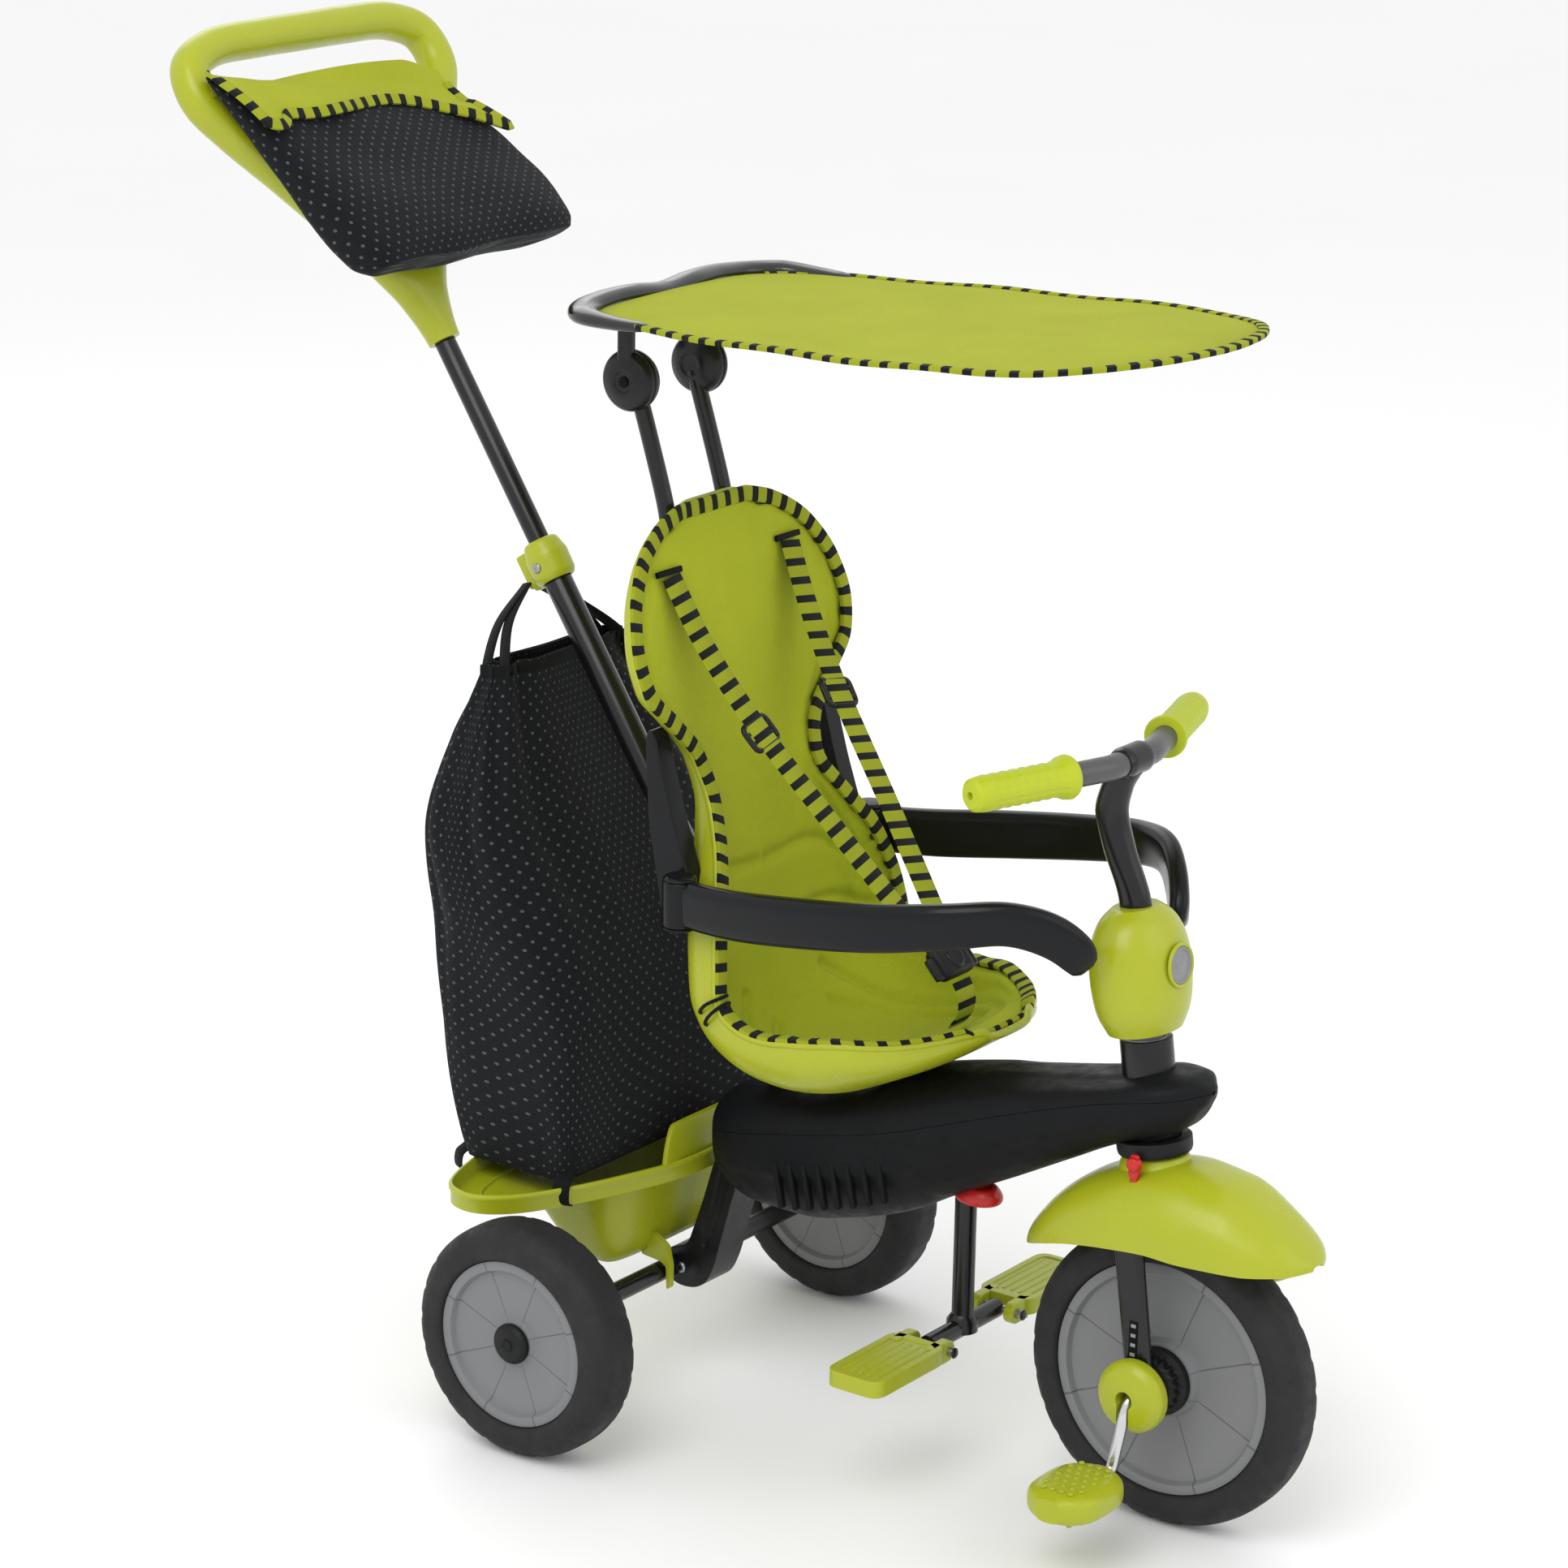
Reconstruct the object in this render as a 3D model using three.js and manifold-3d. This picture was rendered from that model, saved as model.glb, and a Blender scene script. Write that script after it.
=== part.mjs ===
// Children's push tricycle: three wheels, parent push handle, sun canopy, bucket seat with
// harness and guard rail, folding foot pads, storage bucket and hanging bag.
// Millimetres. +X points forward, +Y to the rider's left, +Z up.
// Lengths along X are measured from the rear axle; the whole group is then shifted so that the
// origin lies on the ground under the middle of the object.
import * as THREE from "three";
import { mergeVertices } from "three/addons/utils/BufferGeometryUtils.js";
import Module from "manifold-3d";

const wasm = await Module();
wasm.setup();

// ---------------------------------------------------------------- driving dimensions
const ORIGIN_SHIFT_X = -81.3;
const GAP = 0.4;

const WHEELBASE = 479;
const RAKE = THREE.MathUtils.degToRad(8);

const REAR = { radius: 99, width: 52, discRadius: 70, y: 216 };
const FRONT = { radius: 125, width: 46, discRadius: 96, y: 0 };
const WHEEL_SIDES = 28;
const AXLE_RADIUS = 8.5;
const REAR_HUB_HALF = 17;
const FRONT_HUB_HALF = 19;
const FORK = { legInner: 43, legOuter: 53, legWidth: 24 };
const AXLE_END_Y = 233;

const POLE = { slope: 0.66, footX: 114, footZ: 272, outerRadius: 12, innerRadius: 9, jointZ: 676, socketZ: 848 };

const SEAT_THICKNESS = 4;
const LINER = { clear: 0.8, thickness: 13 };

const CANOPY = { pivotX: -36, pivotZ: 855, pivotY: 46, discRadius: 25, postRadius: 7 };
const CRANK = { radius: 60, lean: THREE.MathUtils.degToRad(5), wire: 4.5, axle: 5.5, bossY: 53.5, outY: 72 };
const PEDAL = { length: 64, width: 80, height: 27, y: 130 };

const COLORS = {
  lime: 0xbfd02e,
  limeShade: 0xb4c433,
  black: 0x232527,
  steel: 0x1c1d1f,
  grey: 0x8f9193,
  tyre: 0x2c2d30,
  chrome: 0xd8d8da,
  red: 0xd02a2c,
  barGrey: 0x6d6f72,
  charcoal: 0x2b2e31,
};

// ---------------------------------------------------------------- helpers
const tricycle = new THREE.Group();
tricycle.position.x = ORIGIN_SHIFT_X;

const look = (color, roughness, metalness = 0) => new THREE.MeshStandardMaterial({ color, roughness, metalness });
const LOOKS = {
  limePlastic: () => look(COLORS.lime, 0.35),
  limeFabric: () => look(COLORS.limeShade, 0.85),
  blackPlastic: () => look(COLORS.black, 0.35),
  blackSteel: () => look(COLORS.steel, 0.25, 0.4),
  greyPlastic: () => look(COLORS.grey, 0.45),
  greySteel: () => look(COLORS.barGrey, 0.4, 0.5),
  rubber: () => look(COLORS.tyre, 0.75),
  chrome: () => look(COLORS.chrome, 0.15, 1),
  redPlastic: () => look(COLORS.red, 0.35),
  charcoalFabric: () => look(COLORS.charcoal, 0.9),
};

// Merges shared corners, drops slivers and turns the faces outwards.
function closed(geometry) {
  const bare = geometry.clone();
  bare.deleteAttribute("normal");
  bare.deleteAttribute("uv");
  const merged = mergeVertices(bare, 1e-4);
  const position = merged.getAttribute("position");
  const kept = [];
  const [a, b, c] = [new THREE.Vector3(), new THREE.Vector3(), new THREE.Vector3()];
  let volume = 0;
  for (let i = 0; i < merged.index.count; i += 3) {
    const corner = [0, 1, 2].map((k) => merged.index.getX(i + k));
    if (new Set(corner).size < 3) continue;
    a.fromBufferAttribute(position, corner[0]);
    b.fromBufferAttribute(position, corner[1]);
    c.fromBufferAttribute(position, corner[2]);
    volume += a.dot(b.cross(c));
    kept.push(corner);
  }
  merged.setIndex(kept.flatMap(([i, j, k]) => (volume < 0 ? [i, k, j] : [i, j, k])));
  return merged;
}

function toSolid(geometry) {
  const shape = closed(geometry);
  return new wasm.Manifold(new wasm.Mesh({
    numProp: 3,
    vertProperties: new Float32Array(shape.getAttribute("position").array),
    triVerts: new Uint32Array(shape.index.array),
  }));
}

function toGeometry(solid) {
  const mesh = solid.getMesh();
  const geometry = new THREE.BufferGeometry();
  geometry.setAttribute("position", new THREE.BufferAttribute(new Float32Array(mesh.vertProperties), 3));
  geometry.setIndex(new THREE.BufferAttribute(new Uint32Array(mesh.triVerts), 1));
  return geometry;
}

const cut = (body, ...tools) => toGeometry(tools.reduce((s, t) => s.subtract(toSolid(t)), toSolid(body)));
const join = (...bodies) => toGeometry(bodies.map(toSolid).reduce((s, t) => s.add(t)));

function addPart(name, geometry, material, parent = tricycle) {
  const mesh = new THREE.Mesh(closed(geometry), material);
  mesh.name = name;
  parent.add(mesh);
  return mesh;
}

const point = (x, y, z) => new THREE.Vector3(x, y, z);

// A box given by its lowest and highest corners.
function boxBetween(low, high) {
  const size = high.map((value, i) => value - low[i]);
  return new THREE.BoxGeometry(...size).translate(...high.map((value, i) => (value + low[i]) / 2));
}

// A round bar between two points; radii may differ for a cone.
function rod(from, to, radius, endRadius = radius, sides = 16) {
  const along = to.clone().sub(from);
  const bar = new THREE.CylinderGeometry(endRadius, radius, along.length(), sides);
  bar.translate(0, along.length() / 2, 0);
  bar.applyQuaternion(new THREE.Quaternion().setFromUnitVectors(point(0, 1, 0), along.normalize()));
  return bar.translate(from.x, from.y, from.z);
}

// A round tube along a smooth curve through the points.
function bentTube(points, radius, steps = 16, sides = 12) {
  const section = new THREE.Shape();
  section.absarc(0, 0, radius, 0, Math.PI * 2);
  return new THREE.ExtrudeGeometry(section, {
    steps,
    curveSegments: sides / 2,
    extrudePath: new THREE.CatmullRomCurve3(points, false, "centripetal"),
  });
}

// A closed body through a list of rings, all with the same number of points.
function loft(rings) {
  const size = rings[0].length;
  const vertices = rings.flat();
  const faces = [];
  for (let r = 0; r + 1 < rings.length; r++) {
    for (let i = 0; i < size; i++) {
      const j = (i + 1) % size;
      const low = r * size;
      const high = low + size;
      faces.push(low + i, low + j, high + j, low + i, high + j, high + i);
    }
  }
  const centre = (ring) => ring.reduce((sum, p) => sum.add(p), point(0, 0, 0)).divideScalar(size);
  const first = vertices.push(centre(rings[0])) - 1;
  const last = vertices.push(centre(rings.at(-1))) - 1;
  const top = (rings.length - 1) * size;
  for (let i = 0; i < size; i++) {
    const j = (i + 1) % size;
    faces.push(first, j, i, last, top + i, top + j);
  }
  return fromFaces(vertices, faces);
}

// A plate with an outer and an inner skin, each a grid of points, joined round the edge.
function plate(outer, inner) {
  const rows = outer.length;
  const columns = outer[0].length;
  const vertices = [...outer.flat(), ...inner.flat()];
  const offset = rows * columns;
  const at = (r, c, skin) => skin * offset + r * columns + c;
  const faces = [];
  const quad = (a, b, c, d) => faces.push(a, b, c, a, c, d);
  for (let r = 0; r + 1 < rows; r++) {
    for (let c = 0; c + 1 < columns; c++) {
      quad(at(r, c, 0), at(r + 1, c, 0), at(r + 1, c + 1, 0), at(r, c + 1, 0));
      quad(at(r, c, 1), at(r, c + 1, 1), at(r + 1, c + 1, 1), at(r + 1, c, 1));
    }
  }
  for (let r = 0; r + 1 < rows; r++) {
    quad(at(r, 0, 1), at(r + 1, 0, 1), at(r + 1, 0, 0), at(r, 0, 0));
    quad(at(r, columns - 1, 0), at(r + 1, columns - 1, 0), at(r + 1, columns - 1, 1), at(r, columns - 1, 1));
  }
  for (let c = 0; c + 1 < columns; c++) {
    quad(at(0, c, 0), at(0, c + 1, 0), at(0, c + 1, 1), at(0, c, 1));
    quad(at(rows - 1, c, 1), at(rows - 1, c + 1, 1), at(rows - 1, c + 1, 0), at(rows - 1, c, 0));
  }
  return fromFaces(vertices, faces);
}

function fromFaces(vertices, faces) {
  const geometry = new THREE.BufferGeometry().setFromPoints(vertices);
  geometry.setIndex(faces);
  return geometry;
}

// A body turned about the Y axis; the profile lists [radius, y] and closes on itself.
function turnedY(profile, sides = WHEEL_SIDES) {
  const points = [...profile, profile[0]].map(([radius, y]) => new THREE.Vector2(radius, y));
  return new THREE.LatheGeometry(points, sides, Math.PI / sides);
}

// The same for a solid body, whose profile starts and ends on the axis.
function turnedSolidY(profile, sides = WHEEL_SIDES) {
  return new THREE.LatheGeometry(profile.map(([r, y]) => new THREE.Vector2(r, y)), sides, Math.PI / sides);
}

// An outline in the XZ plane, given thickness along Y from y0 to y1, with rounded long edges.
function slab(outline, y0, y1, bevel = 0) {
  const options = { depth: y1 - y0 - 2 * bevel, bevelEnabled: bevel > 0, bevelSize: bevel, bevelThickness: bevel };
  const body = new THREE.ExtrudeGeometry(outline, { ...options, bevelOffset: -bevel, bevelSegments: 1, curveSegments: 6 });
  return body.translate(0, 0, bevel).rotateX(Math.PI / 2).translate(0, y1, 0);
}

function smoothOutline(points) {
  const curve = new THREE.CatmullRomCurve3(points.map(([x, z]) => point(x, z, 0)), true, "centripetal");
  return new THREE.Shape(curve.getPoints(points.length * 2).map((p) => new THREE.Vector2(p.x, p.y)));
}

const polygon = (points) => new THREE.Shape(points.map(([x, z]) => new THREE.Vector2(x, z)));

// Straight-line interpolation in a table of rows [key, value, value, ...].
function lookUp(table, key) {
  const last = table.length - 1;
  let i = 0;
  while (i < last - 1 && key > table[i + 1][0]) i++;
  const t = THREE.MathUtils.clamp((key - table[i][0]) / (table[i + 1][0] - table[i][0]), 0, 1);
  return table[i].slice(1).map((value, k) => THREE.MathUtils.lerp(value, table[i + 1][k + 1], t));
}

// Bends a sine or cosine so that a circle becomes a rounded rectangle.
const roundedPower = (value, n) => Math.sign(value) * Math.abs(value) ** (2 / n);

const SIDES = [["left", 1], ["right", -1]];

// The steering axis passes through the front wheel's centre and leans back by RAKE.
const FACET_DROP = Math.cos(Math.PI / WHEEL_SIDES);
const FRONT_AXLE_Z = FRONT.radius * FACET_DROP;
const REAR_AXLE_Z = REAR.radius * FACET_DROP;
const steerX = (z) => WHEELBASE - (z - FRONT_AXLE_Z) * Math.tan(RAKE);
const steerPoint = (z) => point(steerX(z), 0, z);
const steerRod = (z0, z1, radius, endRadius, sides = 24) => rod(steerPoint(z0), steerPoint(z1), radius, endRadius, sides);

// ---------------------------------------------------------------- wheels
function tyre(wheel) {
  const half = wheel.width / 2;
  const shoulder = 11;
  const bead = 0.3;
  return turnedY([
    [wheel.discRadius + bead, -half],
    [wheel.radius - shoulder, -half],
    [wheel.radius - 3, -half + shoulder * 0.6],
    [wheel.radius, -half + shoulder * 1.4],
    [wheel.radius, half - shoulder * 1.4],
    [wheel.radius - 3, half - shoulder * 0.6],
    [wheel.radius - shoulder, half],
    [wheel.discRadius + bead, half],
  ]);
}

// Two-sided plastic disc: raised rim lip, dished web and a hub with a bore.
function wheelDisc(wheel, boreRadius, hubRadius, hubHalf) {
  const face = wheel.width / 2 - 4;
  const lip = wheel.discRadius - 7;
  const web = face - 7;
  const side = [
    [boreRadius, hubHalf],
    [hubRadius, hubHalf],
    [hubRadius + 3, web],
    [lip, web + 2],
    [wheel.discRadius, face],
  ];
  return turnedY([...side, ...side.slice().reverse().map(([r, y]) => [r, -y])]);
}

function addRearWheels() {
  for (const [side, sign] of SIDES) {
    const group = new THREE.Group();
    group.position.set(0, sign * REAR.y, REAR_AXLE_Z);
    tricycle.add(group);
    addPart(`rear_tyre_${side}`, tyre(REAR), LOOKS.rubber(), group);
    addPart(`rear_wheel_disc_${side}`, wheelDisc(REAR, AXLE_RADIUS + GAP, 17, REAR_HUB_HALF), LOOKS.greyPlastic(), group);
    addPart(`rear_hub_cap_${side}`, rearHubCap(sign), LOOKS.blackPlastic(), group);
  }
}

// Domed cap pushed on the end of the axle, outside the disc.
function rearHubCap(sign) {
  const inner = REAR_HUB_HALF + GAP;
  const profile = [[0, inner + 1], [14, inner + 1], [17, inner], [17, inner + 4], [13, inner + 7.5], [0, inner + 9]];
  return turnedSolidY(profile.map(([r, y]) => [r, sign * y]), 20);
}

function addFrontWheel() {
  const group = new THREE.Group();
  group.position.set(WHEELBASE, 0, FRONT_AXLE_Z);
  tricycle.add(group);
  const bore = CRANK.axle + GAP;
  addPart("front_tyre", tyre(FRONT), LOOKS.rubber(), group);
  addPart("front_wheel_disc", wheelDisc(FRONT, bore, 30, FRONT_HUB_HALF), LOOKS.greyPlastic(), group);
  const face = FRONT_HUB_HALF + GAP;
  const end = FORK.legInner - GAP;
  const ring = [[bore, face], [28, face], [28, 26], [24, 29], [24, 35], [19, 38], [19, end], [bore, end]];
  for (const [side, sign] of SIDES) {
    addPart(`clutch_hub_${side}`, turnedY(ring.map(([r, y]) => [r, sign * y]), 20), LOOKS.blackPlastic(), group);
  }
}

// One bent wire: the axle through the hub, two arms half a turn apart and two pedal spindles.
function addCrank() {
  const group = new THREE.Group();
  group.position.set(WHEELBASE, 0, FRONT_AXLE_Z);
  group.rotation.y = CRANK.lean;
  tricycle.add(group);
  const { radius, wire, axle, bossY, outY } = CRANK;
  const spindleEnd = PEDAL.y + PEDAL.width / 2 - 8;
  const arm = (s) => bentTube([
    point(0, s * (bossY - 2), 0),
    point(0, s * (bossY + 9), s * 1),
    point(0, s * (bossY + 15), s * 9),
    point(0, s * outY, s * 28),
    point(0, s * (outY + 4), s * (radius - 15)),
    point(0, s * (outY + 7), s * (radius - 4)),
    point(0, s * (outY + 11), s * (radius - 0.5)),
    point(0, s * (outY + 15), s * radius),
  ], wire, 10, 8);
  const spindle = (s) => rod(point(0, s * (outY + 14), s * radius), point(0, s * spindleEnd, s * radius), wire, wire, 8);
  const through = rod(point(0, -bossY, 0), point(0, bossY, 0), axle, axle, 12);
  addPart("pedal_crank", join(through, arm(1), spindle(1), arm(-1), spindle(-1)), LOOKS.chrome(), group);
  for (const [side, sign] of SIDES) addPart(`crank_boss_${side}`, crankBoss(sign), LOOKS.limePlastic(), group);
}

// Round boss over the bend of the wire, open in a slot where the arm comes out.
function crankBoss(sign) {
  const inner = FORK.legOuter + GAP;
  const profile = [[0, inner], [28, inner], [30, inner + 3], [29.5, inner + 11], [24, inner + 17], [12, inner + 20], [0, inner + 20.5]];
  const boss = turnedSolidY(profile.map(([r, y]) => [r, sign * y]), 24);
  const slot = CRANK.wire + 1;
  const far = inner + 30;
  const [y0, y1] = sign > 0 ? [inner - 3, far] : [-far, -inner + 3];
  const [z0, z1] = sign > 0 ? [-slot, 40] : [-40, slot];
  return cut(boss, boxBetween([-slot, y0, z0], [slot, y1, z1]), rod(point(0, sign * (inner - 3), 0), point(0, sign * far, 0), slot + 1));
}

function addPedals() {
  const steps = 6;
  for (const [side, sign] of SIDES) {
    const rings = [];
    for (let i = 0; i <= steps; i++) {
      const t = (i / steps) * 2 - 1;
      const swell = Math.max(0.35, (1 - Math.abs(t) ** 3.2) ** 0.5);
      rings.push(pedalRing(t * PEDAL.width / 2, swell));
    }
    const boreRadius = CRANK.wire + GAP;
    const bore = rod(point(0, -sign * PEDAL.width, 0), point(0, sign * (PEDAL.width / 2 - 7), 0), boreRadius, boreRadius, 12);
    const pedal = addPart(`pedal_${side}`, cut(loft(rings), bore), LOOKS.limePlastic());
    const reach = sign * CRANK.radius;
    pedal.position.set(
      WHEELBASE + reach * Math.sin(CRANK.lean), sign * PEDAL.y, FRONT_AXLE_Z + reach * Math.cos(CRANK.lean),
    );
  }
}

function pedalRing(y, swell) {
  const ring = [];
  for (let i = 0; i < 12; i++) {
    const angle = (i / 12) * Math.PI * 2;
    const x = (PEDAL.length / 2) * swell * roundedPower(Math.cos(angle), 3);
    const z = (PEDAL.height / 2) * (0.55 + 0.45 * swell) * roundedPower(Math.sin(angle), 3.5);
    ring.push(point(x, y, z));
  }
  return ring;
}

// ---------------------------------------------------------------- fork, fender and steering
const FENDER = [ // x, top z, edge z, half width
  [346, 214, 208, 12], [362, 238, 215, 36], [385, 264, 225, 51], [415, 284, 234, 58], [450, 297, 240, 61],
  [490, 303, 243, 61], [530, 299, 243, 57], [565, 281, 242, 47], [590, 260, 242, 30], [602, 248, 243, 12],
];
const FENDER_WALL = 2.5;
const NECK_TOP_Z = 303;
const STEERER_RADIUS = 14;
const CROWN_Z = 262;
const HEAD = { bottomZ: 305, topZ: 396, radius: 21, bore: STEERER_RADIUS + 0.6 };

function fender() {
  const skin = (wall) => FENDER.map(([x, top, edge, half], row) => {
    const nudge = row === 0 ? wall : row === FENDER.length - 1 ? -wall : 0;
    const line = [];
    for (let i = 0; i <= 8; i++) {
      const angle = Math.PI * (i / 8);
      const y = -(half - wall) * roundedPower(Math.cos(angle), 2.6);
      line.push(point(x + nudge, y, edge + (top - wall - edge) * roundedPower(Math.sin(angle), 2.2)));
    }
    return line;
  });
  const dome = plate(skin(0), skin(FENDER_WALL));
  const neck = steerRod(288, NECK_TOP_Z, 35, 28);
  return cut(join(dome, neck), steerRod(270, NECK_TOP_Z + 10, STEERER_RADIUS + GAP + 0.2, STEERER_RADIUS + GAP + 0.2, 16));
}

function forkLeg(sign) {
  const foot = FRONT_AXLE_Z;
  const half = FORK.legWidth / 2;
  const outline = new THREE.Shape();
  outline.moveTo(steerX(CROWN_Z) - half, CROWN_Z);
  outline.lineTo(WHEELBASE - half, foot);
  outline.absarc(WHEELBASE, foot, half, Math.PI, Math.PI * 2);
  outline.lineTo(steerX(CROWN_Z) + half, CROWN_Z);
  const [y0, y1] = sign > 0 ? [FORK.legInner, FORK.legOuter] : [-FORK.legOuter, -FORK.legInner];
  return slab(outline, y0, y1, 2);
}

function fork() {
  const crown = boxBetween([steerX(CROWN_Z) - 13, -FORK.legOuter, CROWN_Z - 10], [steerX(CROWN_Z) + 13, FORK.legOuter, CROWN_Z]);
  const steerer = steerRod(CROWN_Z - 5, 396, STEERER_RADIUS, STEERER_RADIUS, 16);
  const axleHole = rod(point(WHEELBASE, -80, FRONT_AXLE_Z), point(WHEELBASE, 80, FRONT_AXLE_Z), CRANK.axle + GAP);
  return cut(join(crown, steerer, forkLeg(1), forkLeg(-1)), axleHole);
}

// Oval stem, kinked back and then forward to the bar.
function stem() {
  const stations = [ // x offset from the steering axis, z, half length along X, half width along Y
    [0, 399.5, 11, 11], [0, 470, 11, 11], [0, 500, 13.5, 11], [-11, 545, 13.5, 12], [-15, 570, 13.5, 12],
    [-8, 592, 13, 12], [2, 606, 12.5, 12],
  ];
  return loft(stations.map(([offset, z, halfX, halfY]) => {
    const ring = [];
    for (let i = 0; i < 16; i++) {
      const angle = (i / 16) * Math.PI * 2;
      ring.push(point(steerX(z) + offset + halfX * Math.cos(angle), halfY * Math.sin(angle), z));
    }
    return ring;
  }));
}

const BAR = { x: 417, z: 616.5, radius: 10, gripInner: 69, gripOuter: 160, sweep: 0.3, flange: 17.5, grip: 13.5 };
const barPoint = (y) => point(BAR.x - BAR.sweep * Math.max(0, Math.abs(y) - 28) ** 1.02 * 0.96, y, BAR.z - 1);

function addHandlebar() {
  const stations = [-150, -110, -70, -40, -20, 0, 20, 40, 70, 110, 150];
  addPart("handlebar_tube", bentTube(stations.map(barPoint), BAR.radius, 14, 12), LOOKS.greySteel());
  const joint = bentTube([barPoint(-30), barPoint(0), barPoint(30)], BAR.radius + GAP, 4, 12);
  addPart("handlebar_stem", cut(stem(), joint), LOOKS.blackPlastic());
  for (const [side, sign] of SIDES) addPart(`grip_${side}`, grip(sign), LOOKS.limePlastic());
}

// Rubber grip with a flange at its inner end; closed at the outer end.
function grip(sign) {
  const inner = barPoint(sign * BAR.gripInner);
  const outer = barPoint(sign * BAR.gripOuter);
  const along = outer.clone().sub(inner);
  const length = along.length();
  const profile = [
    [0, 0], [BAR.flange - 1, 0], [BAR.flange, 2.5], [BAR.flange - 1.5, 8], [BAR.grip, 13], [BAR.grip - 0.5, length * 0.6],
    [BAR.grip + 0.5, length - 14], [BAR.grip - 1, length - 5], [BAR.grip - 6, length], [0, length],
  ];
  const body = turnedSolidY(profile, 16);
  body.applyQuaternion(new THREE.Quaternion().setFromUnitVectors(point(0, 1, 0), along.normalize()));
  body.translate(inner.x, inner.y, inner.z);
  const stations = [50, 62, 80, 100, 120, 140, 151].map((y) => barPoint(sign * y));
  return cut(body, bentTube(stations, BAR.radius + GAP + 0.3, 6, 12));
}

// Egg-shaped cover round the top of the head tube.
function headCover() {
  const outline = [[15.2, 403], [31, 403], [38, 418], [41, 436], [41.5, 456], [38.5, 475], [30.5, 491], [20, 500], [15.2, 500]];
  const rings = outline.map(([radius, z]) => [radius, z - HEAD.topZ]);
  const body = turnedY(rings, 18).scale(0.88, 1, 1.14);
  body.applyQuaternion(new THREE.Quaternion().setFromUnitVectors(point(0, 1, 0), steerPoint(500).sub(steerPoint(HEAD.topZ)).normalize()));
  const base = steerPoint(HEAD.topZ);
  return cut(body.translate(base.x, base.y, base.z), steerRod(HEAD.topZ, 520, HEAD.bore));
}

const BADGE = { z: 458, radius: 15, from: 29, to: 38.5 };

// Round badge let into the front of the cover; a grown one cuts its pocket.
function headBadge(grow = 0) {
  const facing = point(1, 0, 0.12);
  const at = (distance) => steerPoint(BADGE.z).addScaledVector(facing, distance).add(point(0, 0, -2));
  return rod(at(BADGE.from - grow), at(BADGE.to + grow * 10), BADGE.radius + grow, BADGE.radius + grow, 20);
}

function addSteering() {
  addPart("fork", fork(), LOOKS.blackPlastic());
  addPart("fender", fender(), LOOKS.limePlastic());
  addHandlebar();
  addPart("head_cover", cut(headCover(), headBadge(GAP)), LOOKS.limePlastic());
  addPart("head_badge", headBadge(), LOOKS.greyPlastic());
  addPart("clutch_lever", clutchLever(), LOOKS.redPlastic());
}

// Red tongue beside the fender's neck on the rider's right, turning on its foot.
const LEVER = { x: 457, y: -33, pivotZ: 297.5, topZ: 313, foot: 4.5 };

function clutchLever() {
  const { x, y, pivotZ, topZ, foot } = LEVER;
  const hub = rod(point(x, y - 5, pivotZ), point(x, y, pivotZ), foot, foot, 12);
  const tongue = boxBetween([x - 3.5, y - 4, pivotZ], [x + 3.5, y, topZ]);
  const pad = rod(point(x, y - 8, pivotZ + 7), point(x, y - 2, pivotZ + 7), 5.5, 6.5, 12);
  return join(hub, tongue, pad);
}

// ---------------------------------------------------------------- frame and body
const BODY = [ // x, bottom z, seam z, top z, half width
  [46, 214, 238, 256, 28], [60, 190, 242, 272, 48], [92, 176, 250, 285, 60], [140, 176, 262, 293, 66],
  [190, 187, 273, 304, 66], [235, 203, 284, 322, 62], [280, 228, 299, 334, 57], [330, 254, 317, 345, 51],
  [385, 284, 336, 356, 47], [430, 308, 350, 366, 45], [462, 320, 357, 374, 41], [486, 333, 361, 375, 31], [498, 350, 363, 370, 15],
];
const BODY_WALL = 3;
const SEAM_GAP = 0.4;

// Half of the body: turns = 1 for the upper shell, -1 for the lower one.
function bodyHalf(turns) {
  const skin = (wall) => BODY.map(([x, bottom, seam, top, half], row) => {
    const nudge = row === 0 ? wall : row === BODY.length - 1 ? -wall : 0;
    const height = (turns > 0 ? top - seam : seam - bottom) - wall;
    const line = [];
    for (let i = 0; i <= 8; i++) {
      const angle = Math.PI * (i / 8);
      const y = (half - wall) * roundedPower(Math.cos(angle), 2.8);
      const z = seam + turns * (SEAM_GAP / 2 + (height - SEAM_GAP / 2) * roundedPower(Math.sin(angle), 2.5));
      line.push(point(x + nudge, y, z));
    }
    return line;
  });
  return plate(skin(0), skin(BODY_WALL));
}

const FOOTREST = { x: 279, barZ: 110, radius: 9, topZ: 245, hingeY: 50, padOuterY: 157, padHalf: 26 };

function addBody() {
  const headHole = steerRod(290, 420, HEAD.radius + GAP);
  const poleHole = rod(polePoint(250), polePoint(340), POLE.outerRadius + GAP);
  const bracketHole = boxBetween([30, -BRACKET_HALF - GAP, 170], [84, BRACKET_HALF + GAP, 270]);
  const upper = join(bodyHalf(1), noseWall(363.2, 368.5));
  addPart("body_shell_upper", cut(upper, headHole, poleHole, bracketHole, seatPressing()), LOOKS.blackPlastic());
  const postHole = rod(point(FOOTREST.x, 0, 150), point(FOOTREST.x, 0, 290), FOOTREST.radius + GAP);
  const collarHole = steerRod(290, 322, 31, 32);
  const lower = cut(join(bodyHalf(-1), noseWall(352.6, 362.8)), headHole, collarHole, postHole, bracketHole, buttonPocket(), poleHole);
  addPart("body_shell_lower", lower, LOOKS.blackPlastic());
}

// Upright wall that closes the front end of a shell.
function noseWall(z0, z1) {
  const [front] = BODY.at(-1);
  return boxBetween([front - 4, -11, z0], [front - 0.1, 11, z1]);
}

// The seat's underside, slightly enlarged, so that the body is dished where the seat sits.
function seatPressing() {
  return plate(seatGrid(seatSize, -1.5, 0, 10, 6), seatGrid(seatSize, 60, 0, 10, 6));
}

const BRACKET_HALF = 19;

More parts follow.
